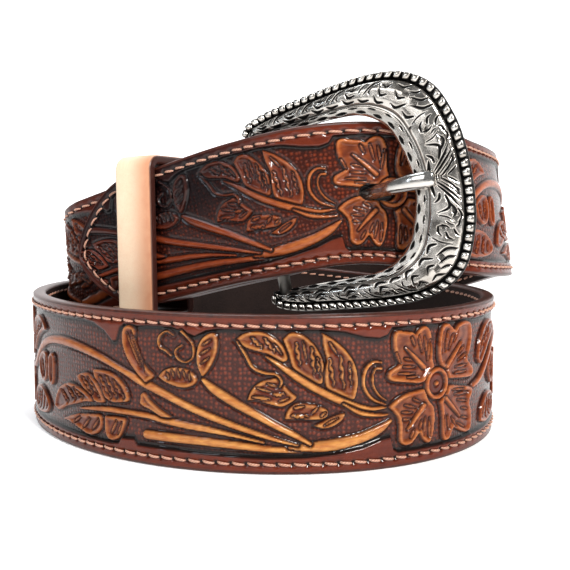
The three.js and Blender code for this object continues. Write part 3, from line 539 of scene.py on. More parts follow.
# Border of the stamped ground: p and v of its upper and lower edge
UPPER_BORDER = [
    (-142.5, 15.4), (-128, 15.5), (-112, 15.6), (-99, 15.7), (-94, 15.1), (-90, 13.4), (-87.2, 11.0),
    (-86, 11.2), (-84.8, 14.4), (-83, 15.7), (-79, 15.4), (-75, 15.7), (-69, 15.7), (-65.4, 14.6),
    (-62.8, 13.8), (-60, 15.2), (-57, 15.7), (-45, 15.8), (-33, 15.7), (-27, 15.1), (-22, 13.7),
    (-18, 13.2), (-15.8, 13.8), (-14.6, 15.6), (-7.4, 15.8), (0, 15.6), (7, 15.8), (15.9, 15.6),
]
LOWER_BORDER = [
    (-142.5, -15.3), (-128, -15.2), (-112, -15.1), (-98, -15.2), (-88, -15.2), (-85.4, -14.8),
    (-84.6, -13.4), (-80.4, -13.2), (-79.4, -14.5), (-70, -14.5), (-58, -14.9), (-46, -15.2),
    (-36, -15.0), (-29, -14.4), (-22, -13.3), (-17.4, -11.8), (-14.6, -11.4), (-13.9, -14.4),
    (-12.6, -15.3), (0, -15.4), (12, -15.4), (15.9, -15.2),
]


class Tooling:
    """The repeat as a fine grid of height in mm (0 is the leather's face), gold, dark and ground."""

    def __init__(self):
        self.columns = int(round(REPEAT / CELL))
        self.rows = int(round(2 * V_HIGH / CELL))
        self.p = P_LOW + (np.arange(self.columns) + 0.5) * CELL
        self.v = V_HIGH - (np.arange(self.rows) + 0.5) * CELL
        shape = (self.rows, self.columns)
        upper = np.interp(self.p, *np.array(UPPER_BORDER).T)[None]
        lower = np.interp(self.p, *np.array(LOWER_BORDER).T)[None]
        v = self.v[:, None]
        inside = np.minimum(upper - v, v - lower)
        self.height = np.where(inside > 0, -GROUND_DEPTH * smoothstep(inside, -0.1, 0.5), 0.0)
        self.ground = smoothstep(inside, 0.3, 0.9)
        edge = smoothstep(inside, -0.25, 0.15) * (1 - smoothstep(inside, 0.5, 2.2))
        self.dark = np.clip(0.92 * edge + 0.1 * smoothstep(inside, 0, 1), 0, 1) * np.ones(shape)
        self.gold = np.zeros(shape)

    def window(self, low, high, margin):
        """The part of the grid round a box, with its p and v; None where the box lies outside."""
        c0 = int((low[0] - margin - P_LOW) / CELL)
        c1 = int((high[0] + margin - P_LOW) / CELL) + 1
        r0 = max(0, int((V_HIGH - high[1] - margin) / CELL))
        r1 = min(self.rows, int((V_HIGH - low[1] + margin) / CELL) + 1)
        c0, c1 = max(c0, 0), min(c1, self.columns)
        if c1 <= c0 or r1 <= r0:
            return None
        gp, gv = np.meshgrid(self.p[c0:c1], self.v[r0:r1])
        return (slice(r0, r1), slice(c0, c1)), gp, gv

    def lay(self, where, inside, height, gold, dark, halo):
        """Lays a form over what is there: inside is the depth in mm within its edge, negative outside."""
        cut = smoothstep(inside, -halo, -0.05) * (inside < 0.08)
        sunk = self.height[where] * (1 - cut) - CUT_DEPTH * cut
        self.height[where] = np.where(inside < 0.08, sunk, self.height[where])
        self.dark[where] = np.maximum(self.dark[where], 0.95 * cut)
        self.gold[where] *= 1 - cut
        full = smoothstep(inside, -0.02, 0.22)
        self.height[where] = self.height[where] * (1 - full) + height * full
        self.gold[where] = self.gold[where] * (1 - full) + gold * full
        self.dark[where] = self.dark[where] * (1 - full) + dark * full
        self.ground[where] *= 1 - smoothstep(inside, -0.5, 0.0)

    def stem(self, rows, top=0.12, gold=1.0, halo=0.75):
        """A rounded ridge along a curve, in every repeat that it reaches."""
        line = spline(rows, 0.25)
        for shift in (-REPEAT, 0, REPEAT):
            low = (line[:, 0].min() + shift, line[:, 1].min())
            high = (line[:, 0].max() + shift, line[:, 1].max())
            found = self.window(low, high, line[:, 2].max() + halo + 0.1)
            if found is None:
                continue
            where, gp, gv = found
            depth = np.full(gp.shape, -9.0)
            share = np.zeros(gp.shape)
            for a, b, w in line:
                d = w - np.hypot(gp - a - shift, gv - b)
                better = d > depth
                depth = np.where(better, d, depth)
                share = np.where(better, d / w, share)
            ridge = np.sqrt(np.clip(share, 0, 1))
            grain = 0.10 * np.sin(gp * 1.9 + gv * 1.3) * np.sin(gp * 0.7 - gv * 2.1)
            self.lay(where, depth, top - 0.42 * (1 - ridge), gold * (0.42 + 0.58 * ridge + grain),
                     0.42 * (1 - ridge), halo)

    def leaf(self, outline, rim=0.55, hollow=-0.42, halo=0.8, gold=0.9, blush=0.06):
        """A closed form with a raised rim and a hollowed, rippled middle."""
        loop = spline(list(outline) + [outline[0]], 0.3)
        for shift in (-REPEAT, 0, REPEAT):
            low = (loop[:, 0].min() + shift, loop[:, 1].min())
            high = (loop[:, 0].max() + shift, loop[:, 1].max())
            found = self.window(low, high, halo + 0.1)
            if found is None:
                continue
            where, gp, gv = found
            x, y = gp - shift, gv
            within = np.zeros(gp.shape, bool)
            distance = np.full(gp.shape, 99.0)
            for (ax, ay), (bx, by) in zip(loop[:-1], loop[1:]):
                crosses = ((ay > y) != (by > y))
                slope = (bx - ax) * (y - ay) / (by - ay if by != ay else 1e-9) + ax
                within ^= crosses & (x < slope)
                ex, ey = bx - ax, by - ay
                t = np.clip(((x - ax) * ex + (y - ay) * ey) / max(ex * ex + ey * ey, 1e-9), 0, 1)
                distance = np.minimum(distance, np.hypot(x - ax - t * ex, y - ay - t * ey))
            depth = np.where(within, distance, -distance)
            wall = np.exp(-((depth - 0.45) / rim) ** 2)
            inner = smoothstep(depth, rim, rim * 2.4)
            ripple = 0.5 + 0.5 * np.sin(x * 1.7 + 2.2 * np.sin(y * 0.9))
            shine = gold * (blush + 0.74 * wall + 0.16 * inner * ripple)
            shadow = 0.34 * inner * (1 - wall) * (1 - 0.7 * ripple)
            self.lay(where, depth, 0.1 * wall + hollow * inner * (1 - wall), shine, shadow, halo)

    def tooth(self, ax, ay, bx, by, half, wavy):
        """A short, thin ridge, beaded where wavy."""
        n = 9
        t = np.linspace(0, 1, n)
        side = np.array([-(by - ay), bx - ax]) / max(math.hypot(bx - ax, by - ay), 1e-6)
        wave = 0.22 * np.sin(t * 5.2 * math.pi) if wavy else 0 * t
        width = half * (0.55 + 0.45 * np.sin(math.pi * np.clip(t * 1.1, 0, 1)))
        width = width * (1 + 0.35 * np.sin(t * 7 * math.pi)) if wavy else width
        rows = np.stack([ax + (bx - ax) * t + side[0] * wave, ay + (by - ay) * t + side[1] * wave, width], -1)
        self.stem(rows, top=-0.05, gold=0.72, halo=0.4)


def build_tooling():
    """Lays the stems, leaves and flower in the order in which they overlap."""
    tooling = Tooling()
    for rows in STEMS[:5]:
        tooling.stem(rows)
    for outline in LEAVES:
        tooling.leaf(outline)
    for tooth in TEETH:
        tooling.tooth(*tooth)
    for rows in STEMS[5:]:
        tooling.stem(rows)
    for petal in PETALS:
        tooling.leaf(petal, rim=0.6, hollow=-0.5, halo=1.0, blush=0.22)
    for ax, ay, bx, by in PETAL_VEINS:
        tooling.tooth(ax, ay, bx, by, 0.34, 0)
    for ax, ay, bx, by, start, end in PETAL_SPIKES:
        middle = ((ax + bx) / 2, (ay + by) / 2, (start + end) / 2 + 0.1)
        tooling.stem([(ax, ay, start), middle, (bx, by, end)], halo=0.5)
    turn = np.radians(np.arange(0, 361, 15))
    disc = [(3.4 * math.cos(a), 0.4 + 3.4 * math.sin(a)) for a in turn[:-1]]
    tooling.leaf(disc, rim=0.2, hollow=-0.6, gold=0.3)
    tooling.stem([(3.5 * math.cos(a), 0.4 + 3.5 * math.sin(a), 0.62) for a in turn], top=0.15, halo=0.6)
    tooling.stem([(-0.2, 0.3, 0.6), (0.2, 0.5, 0.6)], top=-0.05, halo=0.4)
    return tooling


TOOLING = build_tooling()


def read_tooling(p, v, margin):
    """height, gold, dark and ground at p, v; the pattern stops near the strap's edge."""
    column = ((p - P_LOW) % REPEAT) / CELL - 0.5
    row = (V_HIGH - v) / CELL - 0.5
    c0 = np.floor(column).astype(int)
    r0 = np.clip(np.floor(row).astype(int), 0, TOOLING.rows - 2)
    fc, fr = column - c0, np.clip(row - r0, 0, 1)
    c0 %= TOOLING.columns
    c1 = (c0 + 1) % TOOLING.columns
    off = smoothstep(margin, 3.0, 3.5)
    result = []
    for field in (TOOLING.height, TOOLING.gold, TOOLING.dark, TOOLING.ground):
        value = ((field[r0, c0] * (1 - fc) + field[r0, c1] * fc) * (1 - fr)
                 + (field[r0 + 1, c0] * (1 - fc) + field[r0 + 1, c1] * fc) * fr)
        result.append(value * off)
    return result


# Materials
def feed(tree, node, inputs):
    """Sets each named input of a node, or links it where the value is a socket."""
    for key, value in inputs.items():
        if isinstance(value, bpy.types.NodeSocket):
            tree.links.new(value, node.inputs[key])
        else:
            node.inputs[key].default_value = value


def add_node(tree, kind, inputs=None, **settings):
    """A node with its settings and inputs."""
    node = tree.nodes.new(kind)
    for key, value in settings.items():
        setattr(node, key, value)
    feed(tree, node, inputs or {})
    return node


def new_material(name):
    """A material with one shader, and its tree."""
    material = bpy.data.materials.new(name)
    material.use_nodes = True
    tree = material.node_tree
    tree.nodes.clear()
    output = tree.nodes.new("ShaderNodeOutputMaterial")
    shader = tree.nodes.new("ShaderNodeBsdfPrincipled")
    tree.links.new(shader.outputs[0], output.inputs[0])
    return material, tree, shader


def attribute(tree, name, output="Fac"):
    return add_node(tree, "ShaderNodeAttribute", attribute_name=name).outputs[output]


def noise(tree, vector, scale, detail):
    inputs = {"Vector": vector, "Scale": scale, "Detail": detail}
    return add_node(tree, "ShaderNodeTexNoise", inputs).outputs[0]


def bump(tree, height, strength, depth, under=None):
    """Normal of a pattern, depth in mm, over the normal under it."""
    inputs = {"Height": height, "Strength": strength, "Distance": depth * MM}
    if under is not None:
        inputs["Normal"] = under
    return add_node(tree, "ShaderNodeBump", inputs).outputs[0]


def mix(tree, factor, a, b):
    return add_node(tree, "ShaderNodeMix", {0: factor, 6: a, 7: b}, data_type="RGBA").outputs[2]


def maths(tree, operation, a, b):
    return add_node(tree, "ShaderNodeMath", {0: a, 1: b}, operation=operation).outputs[0]


def ramp(tree, value, low, high, start=0.0, end=1.0):
    """Value mapped from low..high to start..end, and held beyond them."""
    inputs = {"Value": value, "From Min": low, "From Max": high, "To Min": start, "To Max": end}
    return add_node(tree, "ShaderNodeMapRange", inputs).outputs[0]


def tooled_leather():
    """Vegetable-tanned cowhide, stamped and dyed by hand: amber on the raised work, antique paste left
    nearly black in the cuts, a pebbled ground between them, and a buffed resin gloss over all. Painted
    shade takes it towards near-black where the strap turns from the light or lies behind the front, and the
    free end darkens towards its tip, most along its upper half."""
    material, tree, shader = new_material("tooled_cowhide_antiqued_gloss")
    belt = attribute(tree, "belt_mm", "Vector")
    gold = attribute(tree, "gold")
    dark = attribute(tree, "dark")
    ground = attribute(tree, "ground")
    darkening_and_painted_shade = attribute(tree, "darkening_and_painted_shade")
    cloud = noise(tree, belt, 0.11, 3.0)
    lengthwise = add_node(tree, "ShaderNodeMapping", {"Vector": belt, "Scale": (0.35, 1.3, 1.0)}).outputs[0]
    patch = noise(tree, lengthwise, 0.8, 5.0)
    glow = attribute(tree, "glow")
    pebble = add_node(tree, "ShaderNodeTexVoronoi", {"Vector": belt, "Scale": 0.84, "Randomness": 0.42})
    bead = ramp(tree, pebble.outputs["Distance"], 0.1, 0.5, 1.0, 0.0)
    grain = noise(tree, belt, 3.2, 3.0)
    hide = mix(tree, ramp(tree, cloud, 0.3, 0.7), srgb("#451509"), srgb("#602310"))
    hide = mix(tree, ramp(tree, patch, 0.35, 0.75, 0.0, 0.3), hide, srgb("#743018"))
    amber = mix(tree, ramp(tree, patch, 0.3, 0.7), srgb("#9c5a2a"), srgb("#c48a49"))
    rust = mix(tree, ramp(tree, patch, 0.3, 0.7), srgb("#7c2a10"), srgb("#9c3f1c"))
    amber = mix(tree, glow, rust, amber)
    color = mix(tree, ramp(tree, gold, 0.1, 0.95), hide, amber)
    pitted = mix(tree, bead, srgb("#2b0d06"), srgb("#74301a"))
    color = mix(tree, maths(tree, "MULTIPLY", ground, 0.85), color, pitted)
    color = mix(tree, ramp(tree, dark, 0.08, 0.92), color, srgb("#0e0503"))
    # Painted shade: where the darkening value is high, the colour goes most of the way to a bluish near-black
    color = mix(tree, darkening_and_painted_shade, color, mix(tree, 0.88, color, srgb("#070508")))
    wear = maths(tree, "ADD", ramp(tree, grain, 0.3, 0.7, 0.24, 0.4), maths(tree, "MULTIPLY", dark, 0.25))
    pebbles = bump(tree, maths(tree, "MULTIPLY", bead, ground), 0.7, 0.45)
    feed(tree, shader, {
        "Base Color": color,
        "Roughness": wear,
        "Specular IOR Level": 0.07,
        "Coat Weight": 0.42,
        "Coat Roughness": 0.08,
        "Normal": bump(tree, grain, 0.35, 0.14, pebbles),
    })
    return material


def burnished_edge():
    """Edge of the same hide, dyed and rubbed smooth: dark brown with a soft shine."""
    material, tree, shader = new_material("burnished_leather_edge")
    belt = attribute(tree, "belt_mm", "Vector")
    streak = noise(tree, belt, 0.6, 4.0)
    color = mix(tree, ramp(tree, streak, 0.3, 0.7), srgb("#2f140e"), srgb("#4c2317"))
    feed(tree, shader, {
        "Base Color": color,
        "Roughness": 0.36,
        "Specular IOR Level": 0.3,
    })
    return material


def flesh_side():
    """Lining side of the hide, sealed and dyed: dull grey-brown with a fine nap."""
    material, tree, shader = new_material("sealed_flesh_side")
    belt = attribute(tree, "belt_mm", "Vector")
    nap = noise(tree, belt, 1.6, 5.0)
    cloud = noise(tree, belt, 0.09, 2.0)
    color = mix(tree, ramp(tree, cloud, 0.3, 0.7), srgb("#191211"), srgb("#261b18"))
    color = mix(tree, ramp(tree, nap, 0.35, 0.75, 0, 0.4), color, srgb("#352824"))
    feed(tree, shader, {
        "Base Color": color,
        "Roughness": 0.75,
        "Specular IOR Level": 0.12,
        "Normal": bump(tree, nap, 0.4, 0.2),
    })
    return material


def waxed_thread():
    """Twisted polyester thread, waxed: pale peach, with the twist just showing."""
    material, tree, shader = new_material("waxed_peach_thread")
    twist = attribute(tree, "twist")
    color = mix(tree, twist, srgb("#cfa088"), srgb("#8e5b47"))
    feed(tree, shader, {
        "Base Color": color,
        "Roughness": 0.5,
        "Normal": bump(tree, twist, 0.6, 0.12),
    })
    return material


def natural_leather():
    """Undyed vegetable-tanned strip: cream to peach, smooth grain, with brown painted edges."""
    material, tree, shader = new_material("natural_veg_tan_painted_edges")
    keeper_mm = attribute(tree, "keeper_mm", "Vector")
    edge = attribute(tree, "edge")
    warm = attribute(tree, "warm")
    grain = noise(tree, keeper_mm, 2.2, 5.0)
    fibre = noise(tree, keeper_mm, 0.35, 2.0)
    color = mix(tree, warm, srgb("#ecd0b2"), srgb("#c78763"))
    color = mix(tree, ramp(tree, fibre, 0.35, 0.7, 0, 0.25), color, srgb("#e3b48f"))
    color = mix(tree, ramp(tree, grain, 0.45, 0.8, 0, 0.2), color, srgb("#cf966f"))
    color = mix(tree, edge, color, srgb("#3a1c16"))
    feed(tree, shader, {
        "Base Color": color,
        "Roughness": ramp(tree, edge, 0, 1, 0.52, 0.34),
        "Normal": bump(tree, grain, 0.25, 0.12),
    })
    return material


def antique_silver():
    """Silver-plated zinc casting, blackened and buffed back: bright ridges, black cuts, painted shade on the
    beads' flanks.
    """
    material, tree, shader = new_material("antiqued_silver_plate_on_zinc")
    place = add_node(tree, "ShaderNodeTexCoord").outputs["Object"]
    cut = attribute(tree, "cut")
    haze = noise(tree, place, 260.0, 4.0)
    pit = noise(tree, place, 2400.0, 2.0)
    bright = mix(tree, ramp(tree, haze, 0.3, 0.7), srgb("#a39c94"), srgb("#d8d3cc"))
    # Antique black in the engraving; on the rope beads the same value also carries painted shade and dark
    # reflections
    paste = ramp(tree, cut, 0.05, 0.5)
    color = mix(tree, paste, bright, srgb("#050404"))
    rough = maths(tree, "ADD", ramp(tree, haze, 0.3, 0.7, 0.14, 0.26), maths(tree, "MULTIPLY", paste, 0.4))
    feed(tree, shader, {
        "Base Color": color,
        "Metallic": ramp(tree, cut, 0.1, 0.6, 1.0, 0.3),
        "Specular IOR Level": 0.15,
        "Roughness": rough,
        "Normal": bump(tree, pit, 0.12, 0.08),
    })
    return material


def polished_plate(name, code, roughness):
    """Bright silver plate, hand polished, with faint wiping marks."""
    material, tree, shader = new_material(name)
    place = add_node(tree, "ShaderNodeTexCoord").outputs["Object"]
    haze = noise(tree, place, 500.0, 3.0)
    feed(tree, shader, {
        "Base Color": srgb(code),
        "Metallic": 1.0,
        "Roughness": ramp(tree, haze, 0.3, 0.7, roughness * 0.7, roughness * 1.4),
    })
    return material


LEATHER = tooled_leather()
EDGE = burnished_edge()
FLESH = flesh_side()
THREAD = waxed_thread()
TAN = natural_leather()
SILVER = antique_silver()
POLISHED = polished_plate("polished_silver_plate", "#c9c5bf", 0.17)
SCREW = polished_plate("plain_nickel_plate", "#a9a39a", 0.3)


def finish_piece(piece, slot, materials, *nodes):
    """Gives a piece its materials and its body, and hides the solids that it stands for; its slot is not used.
    """
    for material in materials:
        piece.data.materials.append(material)
    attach(piece, "root")
    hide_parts(*nodes)
    return piece


# Strap
STITCH_INSET = 2.55
STITCH_PITCH = 3.7
STITCH_LENGTH = 3.05
STITCH_START = 17.0
STITCH_SLANT = 7


def stitch_path():
    """Points (s, v) a stitch apart: up the upper row, round the point and back along the lower row."""
    straight = np.linspace(STITCH_START, LENGTH - TIP_TAPER, 1500)
    s = np.concatenate([straight, LENGTH - TIP_TAPER * np.linspace(1, 0, 400) ** 2])
    upper = np.stack([s, tip_half_width(s)], -1)
    line = np.concatenate([upper, upper[::-1] * [1, -1]])
    way = unit(np.gradient(line, axis=0) + 1e-9)
    inset = line + np.stack([way[:, 1], -way[:, 0]], -1) * STITCH_INSET
    inset = inset[np.abs(inset[:, 1]) > 0.02]
    inset = inset[tip_half_width(inset[:, 0]) - np.abs(inset[:, 1]) > STITCH_INSET * 0.9]
    far = np.r_[0, np.cumsum(np.linalg.norm(np.diff(inset, axis=0), axis=1))]
    count = int(far[-1] / STITCH_PITCH)
    at = np.linspace(0, far[-1], count + 1)
    return np.stack([np.interp(at, far, inset[:, 0]), np.interp(at, far, inset[:, 1])], -1)


STITCHES = stitch_path()

# Prong: along, rise, width and thickness as shares, as in the solid
PRONG = np.array([
    (0.062, 0.0, 0.95, 0.62), (0.17, -0.2, 0.82, 0.72), (0.34, -0.48, 0.75, 0.78),
    (0.49, -0.5, 0.73, 0.82), (0.59, -0.12, 0.75, 0.85), (0.68, 0.55, 0.8, 0.88),
    (0.78, 1.26, 0.89, 0.94), (0.88, 1.62, 0.98, 1.0), (0.955, 1.68, 1.0, 1.0), (1.0, 1.66, 0.9, 0.8),
])


def find_prong_hole():
    """Where the prong's middle comes out of the free end's face, as (s, v)."""
    spine = spline(PRONG * [PRONG_LENGTH, ARCH_RISE, 1, 1], 0.2)
    spine = spine[spine[:, 0] > 0.4 * PRONG_LENGTH]
    points = from_buckle(spine[:, 0], 0 * spine[:, 0], spine[:, 1]) / MM - SHIFT
    s = np.linspace(LENGTH - TIP_REACH - 48, LENGTH - TIP_REACH + 5, 400)
    place, along, up, out = strap_frame(s)
    best = None
    for point in points:
        i = np.argmin(np.abs(np.sum((point - place) * along, axis=1)))
        depth = float(np.dot(point - place[i], out[i]))
        if best is None or abs(depth) < abs(best[0]):
            best = (depth, s[i], float(np.dot(point - place[i], up[i])))
    return best[1], best[2]


HOLE = find_prong_hole()
HOLE_RADIUS = 2.1
HOLE_DEPTH = 3.2
# How far the hole is drawn out along the strap, before and behind its middle
HOLE_STRETCH = (3.2, 2.2)
# Rounded edge of the strap, from face to back: inset from the edge and depth
EDGE_PROFILE = [(0.4, 0.1), (0.1, 0.5), (0.0, 1.2), (0.0, 2.6), (0.1, 3.3), (0.4, 3.7)]
EDGE_ROUND = 0.85
BACK_COLUMNS = 13
FOLD_START = -FOLD_LENGTH - WRAP_LENGTH
WRAP_REACH = 16
# Where the free end starts, and the stretch over which it darkens towards the buckle
FREE_END_START = 790
FREE_END_DARKENS = (846, 884)


def with_ends(data, caps, starts, ends):
    """The rows of data, with the first row of caps before them and the last one after them where asked."""
    return np.concatenate(([caps[:1]] if starts else []) + [data] + ([caps[-1:]] if ends else []))


def make_strap_piece(name, low, high, step, columns, capped=False):
    """One stretch of the strap: the tooled face on a fine grid, the rounded edges and the back."""
    at_tip = high == LENGTH
    stations = np.linspace(low, high, int(round((high - low) / step)) + 1)
    if at_tip:
        plain = np.linspace(low, LENGTH - TIP_TAPER, int((LENGTH - TIP_TAPER - low) / step))
        tip = LENGTH - 0.4 - (TIP_TAPER - 0.4) * np.linspace(1, 0, int(1.4 * TIP_TAPER / step)) ** 1.6
        stations = np.r_[plain, tip[1:]]
    flat = HALF_WIDTH - EDGE_ROUND
    v = np.linspace(-flat, flat, columns)
    rim = [(HALF_WIDTH - inset, depth) for inset, depth in EDGE_PROFILE]
    back = [(k * flat, STRAP_THICKNESS) for k in np.linspace(1, -1, BACK_COLUMNS)]
    across = np.concatenate([v, [r[0] for r in rim], [b[0] for b in back], [-r[0] for r in rim[::-1]]])
    deep = np.concatenate([0 * v, [r[1] for r in rim], [b[1] for b in back], [r[1] for r in rim[::-1]]])
    kind = np.repeat([0, 1, 2, 1], [columns, len(rim), BACK_COLUMNS, len(rim)])
    place, _, up, out = path_frame(stations)
    half = tip_half_width(np.maximum(stations, 0))[:, None]
    s_grid = np.repeat(stations[:, None], len(across), 1)
    side = across[None] * half / HALF_WIDTH
    margin = half - np.abs(side)
    height, gold, dark, ground = read_tooling(FLOWER_AT - s_grid, side, margin)
    face = (kind == 0)[None] * np.ones_like(side)
    near = np.full(side.shape, 9.0)
    for a, b in STITCHES[(STITCHES[:, 0] > low - 3) & (STITCHES[:, 0] < high + 3)]:
        rows = slice(*np.searchsorted(stations, [a - 2.2, a + 2.2]))
        cols = np.abs(v - b * HALF_WIDTH / max(float(tip_half_width(a)), 1)) < 4.0
        block = np.ix_(range(*rows.indices(len(stations))), np.flatnonzero(cols))
        near[block] = np.minimum(near[block], np.hypot(s_grid[block] - a, side[block] - b))
    pinch = np.exp(-(near / 0.62) ** 2)
    line = np.exp(-((margin - STITCH_INSET) / 0.75) ** 2) * (stations[:, None] > STITCH_START - 2)
    height = height - 0.16 * line - 0.5 * pinch - 0.12 * smoothstep(margin, 3.4, 0.8)
    dark = np.clip(dark + 0.95 * pinch + 0.15 * line, 0, 1)
    hole_line = np.clip(s_grid, HOLE[0] - HOLE_STRETCH[0], HOLE[0] + HOLE_STRETCH[1])
    to_hole = np.hypot(s_grid - hole_line, side - HOLE[1])
    dent = 0.35 * np.exp(-((to_hole - HOLE_RADIUS) / 0.5) ** 2)
    height = np.where(to_hole < HOLE_RADIUS, -HOLE_DEPTH, height - dent)
    # Painted shade: the hole's floor is painted black, standing in for the dark depth of a hole through the
    # strap
    dark = np.where(to_hole < HOLE_RADIUS + 0.1, 1.0, dark)
    gold = np.where(np.abs(to_hole - HOLE_RADIUS - 0.35) < 0.3, 0.7, gold * (1 - pinch))
    upper_half = 0.25 + 0.75 * smoothstep(side, -7, 8)
    free = stations[:, None] > FREE_END_START
    darkening_and_painted_shade = np.where(free, smoothstep(s_grid, *FREE_END_DARKENS) * upper_half, 0.0)
    # Painted shade along the strap from the table; the free end's own darkening stays where it is deeper
    shade = np.interp(stations, PAINTED_SHADE[:, 0], PAINTED_SHADE[:, 1])[:, None]
    darkening_and_painted_shade = np.maximum(darkening_and_painted_shade, shade + 0 * side)
    glow = np.interp(stations, GLOW[:, 0], GLOW[:, 1])[:, None] + 0 * side
    depth = deep[None] - height * face
    squeeze = np.clip(half / 4, 0.15, 1)
    depth = np.where(face > 0, depth, STRAP_THICKNESS / 2 + (depth - STRAP_THICKNESS / 2) * squeeze ** 0.1)
    points = place[:, None] + up[:, None] * side[..., None] - out[:, None] * depth[..., None]
    values = {"gold": gold * face, "dark": dark * face, "ground": ground * face, "darkening_and_painted_shade": darkening_and_painted_shade, "glow": glow}
    values["belt_mm"] = np.stack([s_grid, side, deep[None] + 0 * side], -1)
    middle = place[:, None] + up[:, None] * side[..., None] - out[:, None] * (STRAP_THICKNESS / 2)
    ends = (capped or low == FOLD_START, capped or at_tip)
    points = with_ends(points, middle, *ends)
    values = {key: with_ends(data, data, *ends) for key, data in values.items()}
    rows, ring = points.shape[:2]
    quads = grid_quads(rows, ring, close_columns=True)[:, ::-1]
    material = np.tile(kind, rows - 1)
    material[np.tile(np.arange(ring) == columns - 1, rows - 1)] = 1
    values = {key: data.reshape(-1, 3) if data.ndim == 3 else data.ravel() for key, data in values.items()}
    piece = make_mesh(name, (points.reshape(-1, 3) + SHIFT) * MM, quads, values, faces_material=material)
    return finish_piece(piece, "tooled_leather", [LEATHER, EDGE, FLESH], "belt_strap")


# Along the strap: how golden the raised work is, and how far painted shade darkens it where it turns from the
# light
GLOW = np.array([
    (-60, 0.2), (60, 0.2), (290, 0.2), (322, 0.25), (345, 0.35), (362, 0.5), (376, 1.0), (412, 1.0),
    (440, 0.6), (470, 0.3), (512, 0.2), (700, 0.2), (800, 0.25), (830, 0.4), (850, 0.4), (875, 0.1),
    (930, 0.0),
])
PAINTED_SHADE = np.array([
    (-60, 0.3), (30, 0.5), (90, 0.45), (290, 0.3), (318, 0.2), (335, 0.0), (430, 0.0), (475, 0.3),
    (512, 0.35), (700, 0.3), (740, 0.15), (800, 0.0), (845, 0.0), (860, 0.12), (900, 0.45), (930, 0.55),
])
FINE, FINE_COLUMNS = ((0.27, 134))
STRAP_PIECES = [
    # name, from, to, step, columns
    ("strap_fold", FOLD_START, -WRAP_LENGTH - WRAP_REACH, 0.9, 50),
    ("strap_wrap", -WRAP_LENGTH - WRAP_REACH, WRAP_REACH, 0.9, 50),
    ("strap_inner_turn", WRAP_REACH, 290, 0.6, 66),
    ("strap_front_right", 290, 398, FINE, FINE_COLUMNS),
    ("strap_front_left", 398, 512, FINE, FINE_COLUMNS),
    ("strap_back", 512, 700, 0.5, 72),
    ("strap_upper_right", 700, 814, FINE * 1.25, int(FINE_COLUMNS / 1.15)),
    ("strap_free_end", 814, LENGTH, FINE, FINE_COLUMNS),
]
# Slot across the fold for the prong's loop, in the buckle's axes: from, to, half width and half depth
SLOT = (-13.0, 7.6, 3.3, 7.4)


def cut_prong_slot(piece):
    """Cuts the slot out of the fold; its walls show the burnished edge."""
    low, high, half_wide, half_deep = SLOT
    bpy.ops.mesh.primitive_cube_add(size=2)
    cutter = bpy.context.object
    for vertex in cutter.data.vertices:
        x, y, z = vertex.co
        vertex.co = from_buckle(np.array((low + high + x * (high - low)) / 2), np.array(y * half_wide),
                                np.array(z * half_deep))
    cutter.data.materials.append(EDGE)
    slot = piece.modifiers.new("prong_slot", "BOOLEAN")
    slot.operation = "DIFFERENCE"
    slot.solver = "EXACT"
    slot.material_mode = "TRANSFER"
    slot.object = cutter
    bpy.context.view_layer.objects.active = piece
    bpy.ops.object.modifier_apply(modifier=slot.name)
    bpy.data.objects.remove(cutter, do_unlink=True)


for name, low, high, step, columns in STRAP_PIECES:
    strap_piece = make_strap_piece(name, low, high, step, columns, capped=name == "strap_wrap")
    if name == "strap_wrap":
        cut_prong_slot(strap_piece)


def make_stitches(name, face_depth, lift):
    """Arched strands of thread that dive into the leather at both ends."""
    a, b = STITCHES[:-1], STITCHES[1:]
    middle, way = (a + b) / 2, unit(b - a)
    slant = math.radians(STITCH_SLANT)
    way = way @ np.array([[math.cos(slant), math.sin(slant)], [-math.sin(slant), math.cos(slant)]])
    side = np.stack([-way[:, 1], way[:, 0]], -1)
    rings, sides = 9, 6
    t = np.linspace(-1, 1, rings)
    rise = 0.3 - 0.6 * np.abs(t) ** 3
    radius = 0.34 * (1 - 0.45 * np.abs(t) ** 4)
    angle = np.arange(sides) / sides * 2 * math.pi
    sv = (middle[:, None, None] + way[:, None, None] * (t * STITCH_LENGTH / 2)[None, :, None, None]
          + side[:, None, None] * (radius[:, None] * np.cos(angle)[None])[None, ..., None])
    up_out = (rise[:, None] + radius[:, None] * 0.8 * np.sin(angle)[None] - 0.1)[None] + 0 * sv[..., 0]
    count = len(middle)
    place, _, up, out = path_frame(sv[..., 0].ravel())
    height = up_out.ravel()
    offset = face_depth - lift * height
    points = place + up * sv[..., 1].ravel()[:, None] - out * offset[:, None]
    twist = 0.5 + 0.5 * np.sin(t[:, None] * 11 + angle[None] * 2) + 0 * sv[..., 0]
    local = grid_quads(rings, sides, close_columns=True)
    if lift < 0:
        local = local[:, ::-1]
    quads = (local[None] + (np.arange(count) * rings * sides)[:, None, None]).reshape(-1, 4)
    piece = make_mesh(name, (points + SHIFT) * MM, quads, {"twist": twist.ravel()})
    return finish_piece(piece, "tooled_leather", [THREAD], "belt_strap")


make_stitches("stitches_outside", 0.0, 1.0)
make_stitches("stitches_inside", STRAP_THICKNESS, -1.0)


